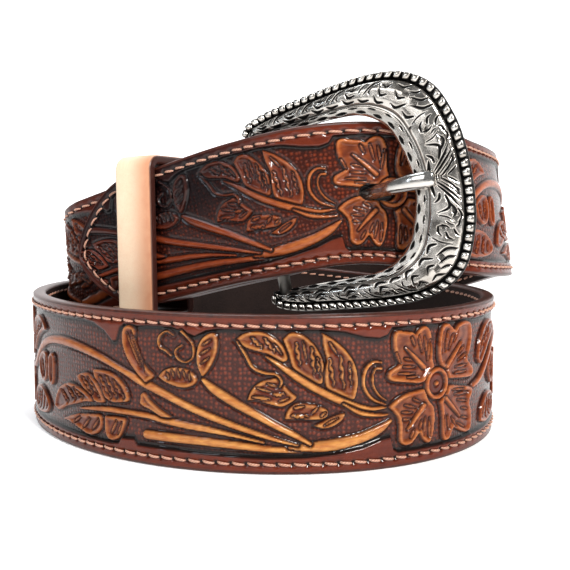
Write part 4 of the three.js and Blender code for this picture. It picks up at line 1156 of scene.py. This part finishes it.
# Keeper
def make_keeper():
    """Leather band bent round the layers: a closed loop with rounded corners and soft edges."""
    skew = math.radians(KEEPER_SKEW)
    slack = (HALF_WIDTH + KEEPER_WIDTH / 2 * math.sin(skew)) / math.cos(skew)
    half = slack + KEEPER_CLEARANCE
    front = LAYER + KEEPER_CLEARANCE
    back = -(2 * STRAP_THICKNESS + FOLD_GAP + KEEPER_CLEARANCE)
    inner, outward = [], []
    corners = [(front, half, 0), (back, half, 90), (back, -half, 180), (front, -half, 270)]
    for x, y, start in corners:
        cx = x - KEEPER_CORNER * math.copysign(1, x - (front + back) / 2)
        cy = y - KEEPER_CORNER * math.copysign(1, y)
        for angle in np.radians(np.linspace(start, start + 90, 9)):
            inner.append((cx + KEEPER_CORNER * math.cos(angle), cy + KEEPER_CORNER * math.sin(angle)))
            outward.append((math.cos(angle), math.sin(angle)))
    loop, normal = [], []
    for i in range(len(inner)):
        j = (i + 1) % len(inner)
        gap = math.hypot(inner[j][0] - inner[i][0], inner[j][1] - inner[i][1])
        steps = max(1, int(gap / 0.9))
        for k in range(steps):
            t = k / steps
            loop.append([inner[i][c] * (1 - t) + inner[j][c] * t for c in (0, 1)])
            normal.append([outward[i][c] * (1 - t) + outward[j][c] * t for c in (0, 1)])
    loop, normal = np.array(loop), unit(np.array(normal))
    w, h, r = KEEPER_WIDTH / 2, KEEPER_THICKNESS, KEEPER_ROUND
    section = []
    for cx, cy, start in ((w - r, h - r, 0), (-w + r, h - r, 90), (-w + r, r, 180), (w - r, r, 270)):
        for angle in np.radians(np.linspace(start, start + 90, 5)):
            section.append((cx + r * math.cos(angle), cy + r * math.sin(angle)))
    section = np.array(section)
    top = np.linspace(w - r, -w + r, 15)[1:-1]
    section = np.concatenate([section[:5], np.stack([top, 0 * top + h], -1), section[5:15],
                              np.stack([-top, 0 * top], -1), section[15:]])
    dome = KEEPER_DOME * (1 - (section[:, 0] / w) ** 2) * (section[:, 1] > h / 2)
    level = section[:, 1] - KEEPER_DOME * (section[:, 1] > h / 2) + dome
    points = loop[:, None] + normal[:, None] * level[None, :, None]
    z = np.broadcast_to(section[:, 0], points.shape[:2])
    x, y = points[..., 0], points[..., 1]
    y2, z2 = y * math.cos(-skew) - z * math.sin(-skew), y * math.sin(-skew) + z * math.cos(-skew)
    place, along, up, out = [f[0] for f in strap_frame(KEEPER_PLACE)]
    world = place + x[..., None] * out + y2[..., None] * up + z2[..., None] * along
    rim = np.clip(np.abs(section[:, 0]) - (w - r), 0, None) / r
    edge = smoothstep(rim, 0.25, 0.85)
    edge = np.where(section[:, 1] < 0.3, 1.0, edge)
    warm = smoothstep(-section[:, 0], -w * 0.35, w * 0.95)
    far = np.cumsum(np.r_[0, np.linalg.norm(np.diff(loop, axis=0), axis=1)])
    values = {
        "edge": np.tile(edge, len(loop)), "warm": np.tile(warm, len(loop)),
        "keeper_mm": np.stack([np.repeat(far, len(section)), np.tile(section[:, 0], len(loop)),
                               np.tile(section[:, 1], len(loop))], -1),
    }
    quads = grid_quads(len(loop), len(section), close_rows=True, close_columns=True)
    piece = make_mesh("keeper_band", (world.reshape(-1, 3) + SHIFT) * MM, quads, values)
    return finish_piece(piece, "keeper_leather", [TAN], "keeper")


make_keeper()

# Buckle
OUTLINE = np.array([
    (-0.088, 0.775, -0.055, 1.0), (-0.045, 0.87, 0.0, 1.0), (0.07, 0.93, 0.08, 1.0),
    (0.27, 0.967, 0.24, 1.0), (0.48, 0.997, 0.4, 1.0), (0.65, 1.0, 0.53, 0.967),
    (0.795, 0.941, 0.615, 0.853), (0.906, 0.778, 0.672, 0.692), (0.971, 0.49, 0.711, 0.427),
    (0.995, 0.229, 0.732, 0.19), (1.0, 0.0, 0.738, 0.0),
])
ARCH = np.array([(-0.1, -0.08), (0.0, 0.0), (0.25, 0.5), (0.5, 0.9), (0.7, 1.0), (0.88, 0.87), (1.0, 0.65)])
CAST_FRONT = np.array([
    (0.0, 0.05), (0.05, 0.42), (0.24, 0.55), (0.28, 0.4), (0.33, 0.82), (0.48, 0.97), (0.72, 1.0),
    (0.93, 0.75), (1.0, 0.35),
])


def spline_curve(points, t):
    """The same uniform curve as the solid's outline, t from 0 to 1 over its knots."""
    n = len(points) - 1
    at = np.clip(np.asarray(t, float), 0, 1) * n
    i = np.minimum(np.floor(at).astype(int), n - 1)
    w = (at - i)[:, None]
    p0, p1 = points[np.maximum(i - 1, 0)], points[i]
    p2, p3 = points[np.minimum(i + 1, n)], points[np.minimum(i + 2, n)]
    p0, p3 = np.where((i == 0)[:, None], p1, p0), np.where((i > n - 2)[:, None], p2, p3)
    v0, v1 = (p2 - p0) * 0.5, (p3 - p1) * 0.5
    return ((2 * p1 - 2 * p2 + v0 + v1) * w ** 3 + (-3 * p1 + 3 * p2 - 2 * v0 - v1) * w ** 2 + v0 * w + p1)


def outline_points(column, size):
    """Knots of a whole outline: the lower half from two columns of the table, then its mirror."""
    lower = np.stack([OUTLINE[:, column] * BUCKLE_REACH, -OUTLINE[:, column + 1] * size], -1)
    return np.concatenate([lower, lower[-2::-1] * [1, -1]])


def arch_rise(x):
    """How far the arched casting stands out at x."""
    return ARCH_RISE * read_table(ARCH[:, 0], ARCH[:, 1], x / BUCKLE_REACH)


dense = np.linspace(0, 1, 4001)
OUTER_DENSE = spline_curve(outline_points(0, FRAME_HALF), dense)
OUTER_FAR = np.r_[0, np.cumsum(np.linalg.norm(np.diff(OUTER_DENSE, axis=0), axis=1))]
RIM_LENGTH = OUTER_FAR[-1]


def rim_station(far):
    """Inner and outer outline points and the unit vector across the casting at a distance along the rim."""
    t = np.interp(far, OUTER_FAR, dense)
    inner = spline_curve(outline_points(2, OPENING_HALF), t)
    outer = spline_curve(outline_points(0, FRAME_HALF), t)
    return inner, outer, unit(outer - inner)


# Engraving of half the frame. Each cut: three points as a, the distance in mm along the rim from its middle,
# and b, the share of the field's width from the inner edge; then its widest half width in mm.
CUTS = [
    # rays out of the rest, and the grooves beside it
    (0.0, 0.5, 0.5, 0.5, 1.1, 0.5, 0.16), (0.0, 0.55, 0.5, 0.55, 1.0, 0.55, 0.16),
    (0.0, 0.6, 0.4, 0.6, 0.8, 0.6, 0.14), (0.5, 0.62, 2.6, 0.78, 4.8, 0.9, 0.3),
    (1.4, 0.5, 4.2, 0.7, 7.6, 0.93, 0.34), (0.3, 0.74, 1.4, 0.84, 2.6, 0.93, 0.26),
    (2.6, 0.5, 5.8, 0.7, 9.6, 0.92, 0.3), (1.0, 0.56, 3.4, 0.74, 6.2, 0.93, 0.16),
    (2.0, 0.46, 5.0, 0.68, 8.6, 0.91, 0.14),
    # long leaves along the band
    (1.8, 0.36, 4.2, 0.39, 6.4, 0.42, 0.46), (5.2, 0.52, 7.0, 0.5, 8.4, 0.41, 0.36),
    (5.8, 0.63, 9.4, 0.7, 11.6, 0.47, 0.4), (7.9, 0.7, 10.4, 0.82, 12.6, 0.76, 0.34),
    (9.6, 0.86, 11.6, 0.93, 13.4, 0.87, 0.26),
    # round scroll and what is inside it
    (12.3, 0.5, 12.5, 0.66, 13.6, 0.8, 0.2), (18.2, 0.25, 18.9, 0.3, 19.6, 0.38, 0.42),
    (15.8, 0.5, 17.6, 0.52, 18.6, 0.6, 0.34), (15.6, 0.52, 15.2, 0.64, 15.8, 0.74, 0.26),
    (17.0, 0.66, 18.4, 0.72, 18.6, 0.82, 0.34), (15.6, 0.8, 16.8, 0.86, 17.2, 0.94, 0.3),
    (12.6, 0.9, 14.2, 0.88, 15.0, 0.82, 0.28), (13.8, 0.64, 14.4, 0.72, 14.4, 0.8, 0.22),
    (19.9, 0.42, 20.4, 0.6, 19.8, 0.82, 0.2),
    # leaves in the corner
    (20.6, 0.93, 21.6, 0.74, 24.8, 0.6, 0.38), (22.8, 0.93, 23.8, 0.8, 26.6, 0.72, 0.34),
    (21.4, 0.52, 23.0, 0.4, 25.6, 0.42, 0.4), (25.6, 0.94, 26.2, 0.86, 28.0, 0.8, 0.3),
    (26.2, 0.56, 28.2, 0.4, 30.8, 0.44, 0.38), (27.8, 0.66, 29.6, 0.6, 31.6, 0.72, 0.34),
    (28.6, 0.94, 30.2, 0.84, 32.4, 0.88, 0.28),
]
HATCHES = [
    # a, b of the first line, step along the rim, count, run along and across of each line
    (23.4, 0.64, 0.42, 5, 0.9, 0.14), (27.2, 0.7, 0.4, 5, 0.8, 0.12), (9.2, 0.74, 0.4, 5, 0.9, 0.12),
    (3.6, 0.86, 0.45, 5, 0.9, 0.07), (14.8, 0.56, 0.4, 4, 0.7, 0.1), (34.2, 0.78, 0.42, 6, 0.8, 0.12),
    (44.6, 0.78, 0.42, 6, 0.8, 0.12), (55.0, 0.78, 0.42, 6, 0.8, 0.12),
]
# The legs repeat a scroll of leaves, a pitch apart
LEG_START, LEG_PITCH, LEG_UNITS = 33.0, 10.3, 5
LEG_LEAF = [
    (0.2, 0.4, 2.4, 0.38, 4.6, 0.56, 0.34), (0.6, 0.6, 2.4, 0.56, 4.2, 0.78, 0.34),
    (0.8, 0.86, 1.8, 0.76, 3.2, 0.84, 0.26), (4.6, 0.92, 6.6, 0.84, 8.2, 0.56, 0.34),
    (5.4, 0.4, 7.6, 0.37, 9.4, 0.46, 0.34), (6.0, 0.56, 6.6, 0.66, 6.2, 0.78, 0.22),
    (8.4, 0.9, 9.4, 0.8, 9.9, 0.62, 0.26),
]
# Border of lens-shaped cuts: offset in pitches, share of the width, half length and half height in mm
LENS_PITCH = 7.2
LENS_ROWS = [(0.0, 0.085, 2.3, 0.46), (0.5, 0.2, 1.9, 0.26)]
# Shelf under the rope: share of its width and rise. Plain back: share of the casting's width and of its depth
ROPE_SHELF = [(0.18, -0.25), (0.5, -0.2), (0.86, -0.25), (0.98, -0.75)]
SHELF_RISE = 0.35
CAST_REAR = [(0.95, -0.9), (0.8, -1.0), (0.5, -1.0), (0.15, -1.0), (0.04, -0.95), (0.0, -0.6)]


def engrave(a, field, width):
    """Share of full depth of the engraving at signed rim distance a and share field of the width."""
    cuts = list(CUTS)
    for unit_number in range(LEG_UNITS):
        shift = LEG_START + unit_number * LEG_PITCH
        cuts += [(r[0] + shift, r[1], r[2] + shift, r[3], r[4] + shift, r[5], r[6]) for r in LEG_LEAF]
    for start, share, step, count, run, rise in HATCHES:
        for k in range(count):
            low = start + k * step
            cuts.append((low, share, low + run / 2, share + rise / 2, low + run, share + rise, 0.13))
    middle = np.abs(a[:, 0])
    order = np.argsort(middle)
    depth = np.zeros(a.shape)
    mirrored = np.abs(a)
    level = field * width
    for row in cuts:
        points = np.array(row[:6]).reshape(3, 2)
        points[:, 1] *= np.interp(points[:, 0], middle[order], width[order, 0])
        line = spline(points, 0.14)
        low, high = line.min(axis=0) - 0.7, line.max(axis=0) + 0.7
        rows, cols = np.nonzero((mirrored > low[0]) & (mirrored < high[0])
                                & (level > low[1]) & (level < high[1]))
        if not len(rows):
            continue
        x, y = mirrored[rows, cols], level[rows, cols]
        share = np.linspace(0, 1, len(line))
        taper = row[6] * np.sin(math.pi * np.clip(share * 0.9 + 0.07, 0, 1) ** 0.8) ** 0.7
        apart = np.hypot(x[:, None] - line[None, :, 0], y[:, None] - line[None, :, 1])
        best = (taper[None] - apart).max(axis=1)
        depth[rows, cols] = np.maximum(depth[rows, cols], smoothstep(best, -0.1, 0.14))
    return depth


def make_frame_casting():
    """The horseshoe casting as one height field round the rim, engraved on its front."""
    step, columns = ((0.17, 80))
    count = int(RIM_LENGTH / step)
    far = np.linspace(0, RIM_LENGTH, count + 1)
    inner, outer, across = rim_station(far)
    total = np.linalg.norm(outer - inner, axis=1)
    width = total - ROPE_WIDTH
    field = np.linspace(0, 1, columns)
    grid_field = np.repeat(field[None], count + 1, 0)
    grid_far = np.repeat((far - RIM_LENGTH / 2)[:, None], columns, 1)
    grid_width = np.repeat(width[:, None], columns, 1)
    base = np.interp(field, CAST_FRONT[:, 0], CAST_FRONT[:, 1]) * CAST_RELIEF
    base = np.convolve(np.r_[base[0], base[0], base, base[-1], base[-1]], np.ones(5) / 5, "valid")
    engraved = engrave(grid_far, grid_field, grid_width)
    engraved = engraved * smoothstep(grid_field, 0.31, 0.34)
    border = smoothstep(grid_field, 0.03, 0.05) * (1 - smoothstep(grid_field, 0.2, 0.22))
    turn = np.abs(grid_far) / LENS_PITCH
    lens = np.zeros_like(grid_field)
    for offset, share, half_long, half_high in LENS_ROWS:
        x = (np.mod(turn + offset, 1.0) - 0.5) * LENS_PITCH / half_long
        y = (grid_field - share) * grid_width / half_high
        lens = np.maximum(lens, 1 - smoothstep(x * x + np.abs(y), 0.7, 1.0))
    stipple = border * (0.5 + 0.5 * np.sin(grid_far * 9.5) * np.sin(grid_field * grid_width * 9.0))
    groove = smoothstep(grid_field, 0.95, 0.98)
    valley = np.exp(-((grid_field - 0.3) * grid_width / 0.22) ** 2)
    height = base[None] - 0.32 * engraved - 0.35 * lens - 0.08 * stipple - 0.6 * groove - 0.16 * valley
    cut = np.clip(engraved + lens + 0.1 * border + 0.08 * stipple + groove + 0.5 * valley, 0, 1)
    x = inner[:, None, 0] + across[:, None, 0] * grid_field * grid_width
    y = inner[:, None, 1] + across[:, None, 1] * grid_field * grid_width
    z = arch_rise(x) + height
    parts_x, parts_y, parts_z, parts_cut = [x], [y], [z], [cut]
    for share, level in ROPE_SHELF:
        sx = inner[:, 0] + across[:, 0] * (width + share * ROPE_WIDTH)
        sy = inner[:, 1] + across[:, 1] * (width + share * ROPE_WIDTH)
        parts_x.append(sx[:, None])
        parts_y.append(sy[:, None])
        parts_z.append((arch_rise(sx) + level + SHELF_RISE)[:, None])
        parts_cut.append(np.full((count + 1, 1), 1.0 if share < 0.9 else 0.25))
    for share, level in CAST_REAR:
        sx = inner[:, 0] + across[:, 0] * total * share
        sy = inner[:, 1] + across[:, 1] * total * share
        parts_x.append(sx[:, None])
        parts_y.append(sy[:, None])
        parts_z.append((arch_rise(sx) + level * CAST_BACK)[:, None])
        parts_cut.append(np.full((count + 1, 1), 0.45))
    x, y, z, cut = [np.concatenate(part, 1) for part in (parts_x, parts_y, parts_z, parts_cut)]
    x, y, z = [np.concatenate([np.full_like(part[:1], part[0].mean()), part,
                               np.full_like(part[:1], part[-1].mean())]) for part in (x, y, z)]
    cut = np.concatenate([cut[:1], cut, cut[-1:]])
    rows, ring = x.shape
    quads = grid_quads(rows, ring, close_columns=True)
    piece = make_mesh("frame_casting", from_buckle(x, y, z).reshape(-1, 3), quads, {"cut": cut.ravel()})
    return finish_piece(piece, "antique_silver", [SILVER], "buckle_frame")


def make_rope():
    """Rounded square beads on the outer rim, one mesh."""
    count = int(round(RIM_LENGTH / ROPE_PITCH))
    far = (np.arange(count) + 0.5) * RIM_LENGTH / count
    _, outer, across = rim_station(far)
    step = 0.3
    along = unit(rim_station(np.minimum(far + step, RIM_LENGTH))[1] - rim_station(np.maximum(far - step, 0))[1])
    n = 10
    theta = np.linspace(-math.pi / 2, math.pi / 2, n)
    phi = np.linspace(0, 2 * math.pi, 17)[:-1]
    ring = soft_power(np.cos(theta), BEAD_POWER)[:, None]
    lx = ring * soft_power(np.cos(phi), BEAD_POWER)[None]
    ly = ring * soft_power(np.sin(phi), BEAD_POWER)[None]
    lz = soft_power(np.sin(theta), BEAD_POWER)[:, None] * np.ones((1, len(phi)))
    half = (ROPE_PITCH * 0.46, ROPE_WIDTH * 0.42, 1.15)
    middle = outer - across * ROPE_WIDTH * 0.5
    skewed = lx * half[0] * (0.86 + 0.14 * ly) + ly * half[1] * 0.16
    x = middle[:, 0, None, None] + along[:, 0, None, None] * skewed + across[:, 0, None, None] * ly * half[1]
    y = middle[:, 1, None, None] + along[:, 1, None, None] * skewed + across[:, 1, None, None] * ly * half[1]
    z = arch_rise(middle[:, 0])[:, None, None] + 0.62 + lz * half[2]
    # Antique black between the beads, and painted shade with dark reflections on their flanks: only each bead's
    # outermost top stays bright
    cut = 0.95 * (1 - smoothstep(lz, 0.4, 1.0)) + 0.0 * x
    local = grid_quads(n, len(phi), close_columns=True)[:, ::-1]
    quads = (local[None] + (np.arange(count) * n * len(phi))[:, None, None]).reshape(-1, 4)
    piece = make_mesh("frame_rope_rim", from_buckle(x, y, z).reshape(-1, 3), quads, {"cut": cut.ravel()})
    return finish_piece(piece, "antique_silver", [SILVER], "buckle_frame")


def tube(spine, half_y, half_z, sides, power):
    """Rod in the buckle's plane y = 0: spine rows of x, z with its half sizes; a power under 1 squares it up."""
    spine = np.asarray(spine, float)
    way = unit(np.gradient(spine, axis=0))
    face = np.stack([-way[:, 1], way[:, 0]], -1)
    angle = np.arange(sides) / sides * 2 * math.pi
    round_y, round_z = soft_power(np.cos(angle), power)[None], soft_power(np.sin(angle), power)[None]
    y = half_y[:, None] * round_y
    x = spine[:, 0, None] + face[:, 0, None] * half_z[:, None] * round_z
    z = spine[:, 1, None] + face[:, 1, None] * half_z[:, None] * round_z
    return x, y, z


# Section of the prong's loop, half of it: share of the wall's thickness and of the half width
LOOP_WALL = 2.4
LOOP_GAP = 0.35
LOOP_SECTION = [(0, 1), (0.3, 1.0), (0.85, 0.95), (1, 0.6)]


def make_prong():
    """The prong's rod with its rounded tip, and the loop that holds it on the bar."""
    rows = spline(PRONG * [PRONG_LENGTH, ARCH_RISE, PRONG_WIDTH / 2, PRONG_THICKNESS / 2], 0.35)
    cap = np.linspace(0, 1, 8)[1:]
    way = unit(rows[-1, :2] - rows[-2, :2])
    tip = np.concatenate([rows[-1, :2] + way * 0.9 * np.sin(cap * math.pi / 2)[:, None],
                          rows[-1, 2:] * np.maximum(np.cos(cap * math.pi / 2), 0.02)[:, None]], 1)
    rows = np.concatenate([rows, tip])
    x, y, z = tube(rows[:, :2], rows[:, 2], rows[:, 3], PRONG_SIDES, PRONG_POWER)
    quads = grid_quads(x.shape[0], x.shape[1], close_columns=True)[:, ::-1]
    verts = from_buckle(x, y, z).reshape(-1, 3)
    piece = make_mesh("prong_rod", verts, quads)
    finish_piece(piece, "prong_metal", [POLISHED], "buckle_prong")
    inner = BAR_RADIUS + LOOP_GAP
    angle = np.linspace(0, 2 * math.pi, 49)[:-1]
    section = [(0, -1)] + LOOP_SECTION + [(share, -side) for share, side in LOOP_SECTION[:0:-1]]
    radius = np.array([inner + LOOP_WALL * share for share, _ in section])
    side = np.array([side for _, side in section]) * PRONG_WIDTH / 2
    x = np.cos(angle)[:, None] * radius[None]
    z = np.sin(angle)[:, None] * radius[None]
    y = np.broadcast_to(side, x.shape)
    verts = from_buckle(x, y, z).reshape(-1, 3)
    quads = grid_quads(*x.shape, close_rows=True, close_columns=True)[:, ::-1]
    piece = make_mesh("prong_loop", verts, quads)
    return finish_piece(piece, "prong_metal", [POLISHED], "buckle_prong")


def make_bar():
    """The bar that the strap is wrapped round, let into both legs of the casting."""
    length = 2 * (OPENING_HALF + BAR_OVERLAP) * MM
    bpy.ops.mesh.primitive_cylinder_add(vertices=40, radius=BAR_RADIUS * MM, depth=length)
    bar = bpy.context.object
    bar.name = "frame_bar"
    middle = Vector(from_buckle(np.array(0.0), np.array(0.0), np.array(0.0)))
    tilt = Vector((0, 0, 1)).rotation_difference(Vector(BUCKLE_UP)).to_matrix().to_4x4()
    bar.data.transform(Matrix.Translation(middle) @ tilt)
    for polygon in bar.data.polygons:
        polygon.use_smooth = len(polygon.vertices) == 4
    shade = bar.data.attributes.new("cut", "FLOAT", "POINT")
    shade.data.foreach_set("value", np.full(len(bar.data.vertices), 0.3, np.float32))
    return finish_piece(bar, "antique_silver", [SILVER], "buckle_frame")


def make_screw(number, distance):
    """A screw through strap and fold: two domed heads with a shank between, turned about its axis."""
    place, along, up, out = [f[0] for f in strap_frame(distance)]
    back = 2 * STRAP_THICKNESS + FOLD_GAP
    profile = [(0.02, -back - 1.3), (2.6, -back - 1.25), (3.7, -back - 0.95), (SCREW_HEAD, -back - 0.6),
               (SCREW_HEAD, -back - 0.3), (SCREW_SHANK, -back - 0.3), (SCREW_SHANK, 0.3), (SCREW_HEAD, 0.3),
               (SCREW_HEAD, 0.75), (3.7, 1.15), (2.8, 1.3), (0.02, 1.3)]
    angle = np.linspace(0, 2 * math.pi, 41)[:-1]
    radius = np.array([p[0] for p in profile])
    level = np.array([p[1] for p in profile])
    points = (place + (np.cos(angle)[:, None] * radius)[..., None] * along
              + (np.sin(angle)[:, None] * radius)[..., None] * up + level[None, :, None] * out)
    quads = grid_quads(40, len(profile), close_rows=True)
    piece = make_mesh(f"screw_{number}", (points.reshape(-1, 3) + SHIFT) * MM, quads)
    return finish_piece(piece, "screw_metal", [SCREW], f"fold_screw_{number}")


make_frame_casting()
make_rope()
make_prong()
make_bar()
screw_reach = KEEPER_WIDTH / 2 + SCREW_GAP + SCREW_HEAD
make_screw(1, KEEPER_PLACE - screw_reach)
make_screw(2, KEEPER_PLACE + screw_reach)


# Stage, light and camera
def make_floor():
    """Plain pale floor, and a paler wall far behind the belt."""
    def sheet(name, verts, code, glow):
        piece = make_mesh(name, np.array(verts, float), [[0, 1, 2, 3]])
        material, tree, shader = new_material("matt_white_" + name)
        feed(tree, shader, {
            "Base Color": srgb(code),
            "Roughness": 0.9,
            "Specular IOR Level": 0.1,
            "Emission Color": (1, 1, 1, 1),
            "Emission Strength": glow,
        })
        piece.data.materials.append(material)

    reach, back, level, foot = 4, 1.6, -0.00002, -0.1
    floor = [(-reach, -reach, level), (reach, -reach, level), (reach, back, level), (-reach, back, level)]
    wall = [(-reach, back, foot), (reach, back, foot), (reach, back, reach), (-reach, back, reach)]
    sheet("floor", floor, "#f4f3f2", 0.26)
    sheet("wall", wall, "#ffffff", 0.85)


def add_light(name, where, target, size, power, colour):
    """A rectangular softbox that faces its target."""
    data = bpy.data.lights.new(name, "AREA")
    data.shape = "RECTANGLE"
    data.size, data.size_y = size
    data.energy = power
    data.color = colour
    light = bpy.data.objects.new(name, data)
    bpy.context.scene.collection.objects.link(light)
    light.location = where
    light.rotation_euler = (Vector(target) - Vector(where)).to_track_quat("-Z", "Y").to_euler()


# Name, place, what it faces, width and height, all in metres, then watts and colour
LIGHTS = [
    ("key", (0.42, -0.8, 0.64), (0, 0, 0.04), (0.18, 0.18), 13.5, (1.0, 0.98, 0.95)),
    ("fill", (-0.6, -0.85, 0.45), (0, 0, 0.05), (0.5, 0.4), 2.4, (1, 1, 1)),
    ("left_strip", (-0.85, -0.55, 0.3), (0, 0, 0.06), (0.04, 0.2), 0.5, (0.72, 0.86, 1.0)),
    ("overhead", (-0.34, -0.05, 0.9), (0, 0, 0.06), (0.45, 0.2), 2.6, (0.84, 0.92, 1.0)),
    ("top", (0.05, 0.45, 0.9), (0, 0.25, 0.0), (0.5, 0.3), 4.2, (1, 1, 1)),
]
SKY_COLOUR = (0.92, 0.96, 1.0, 1)
SKY_STRENGTH = 0.2

make_floor()
world = bpy.data.worlds.new("studio")
world.use_nodes = True
background = world.node_tree.nodes["Background"]
background.inputs[0].default_value = SKY_COLOUR
background.inputs[1].default_value = SKY_STRENGTH
bpy.context.scene.world = world
bpy.context.scene.view_settings.view_transform = "Standard"
for row in LIGHTS:
    add_light(*row)

# The photo's camera, worked out from the strap: its eye from the ring's middle, and the focal length in pixels
EYE = (np.array([0.0, -281.0, 63.0]) + SHIFT) * MM
PITCH, YAW = math.radians(4.93), math.radians(1.71)
SENSOR = 36.0
FOCAL_PIXELS, PHOTO_PIXELS = 900, 570
look = Vector((math.sin(YAW) * math.cos(PITCH), math.cos(YAW) * math.cos(PITCH), -math.sin(PITCH)))
camera_data = bpy.data.cameras.new("camera")
camera_data.lens = SENSOR * FOCAL_PIXELS / PHOTO_PIXELS
camera_data.sensor_width = SENSOR
camera_data.clip_start = 0.01
camera = bpy.data.objects.new("camera", camera_data)
camera.location = EYE
camera.rotation_euler = look.to_track_quat("-Z", "Y").to_euler()
bpy.context.scene.collection.objects.link(camera)
bpy.context.scene.camera = camera
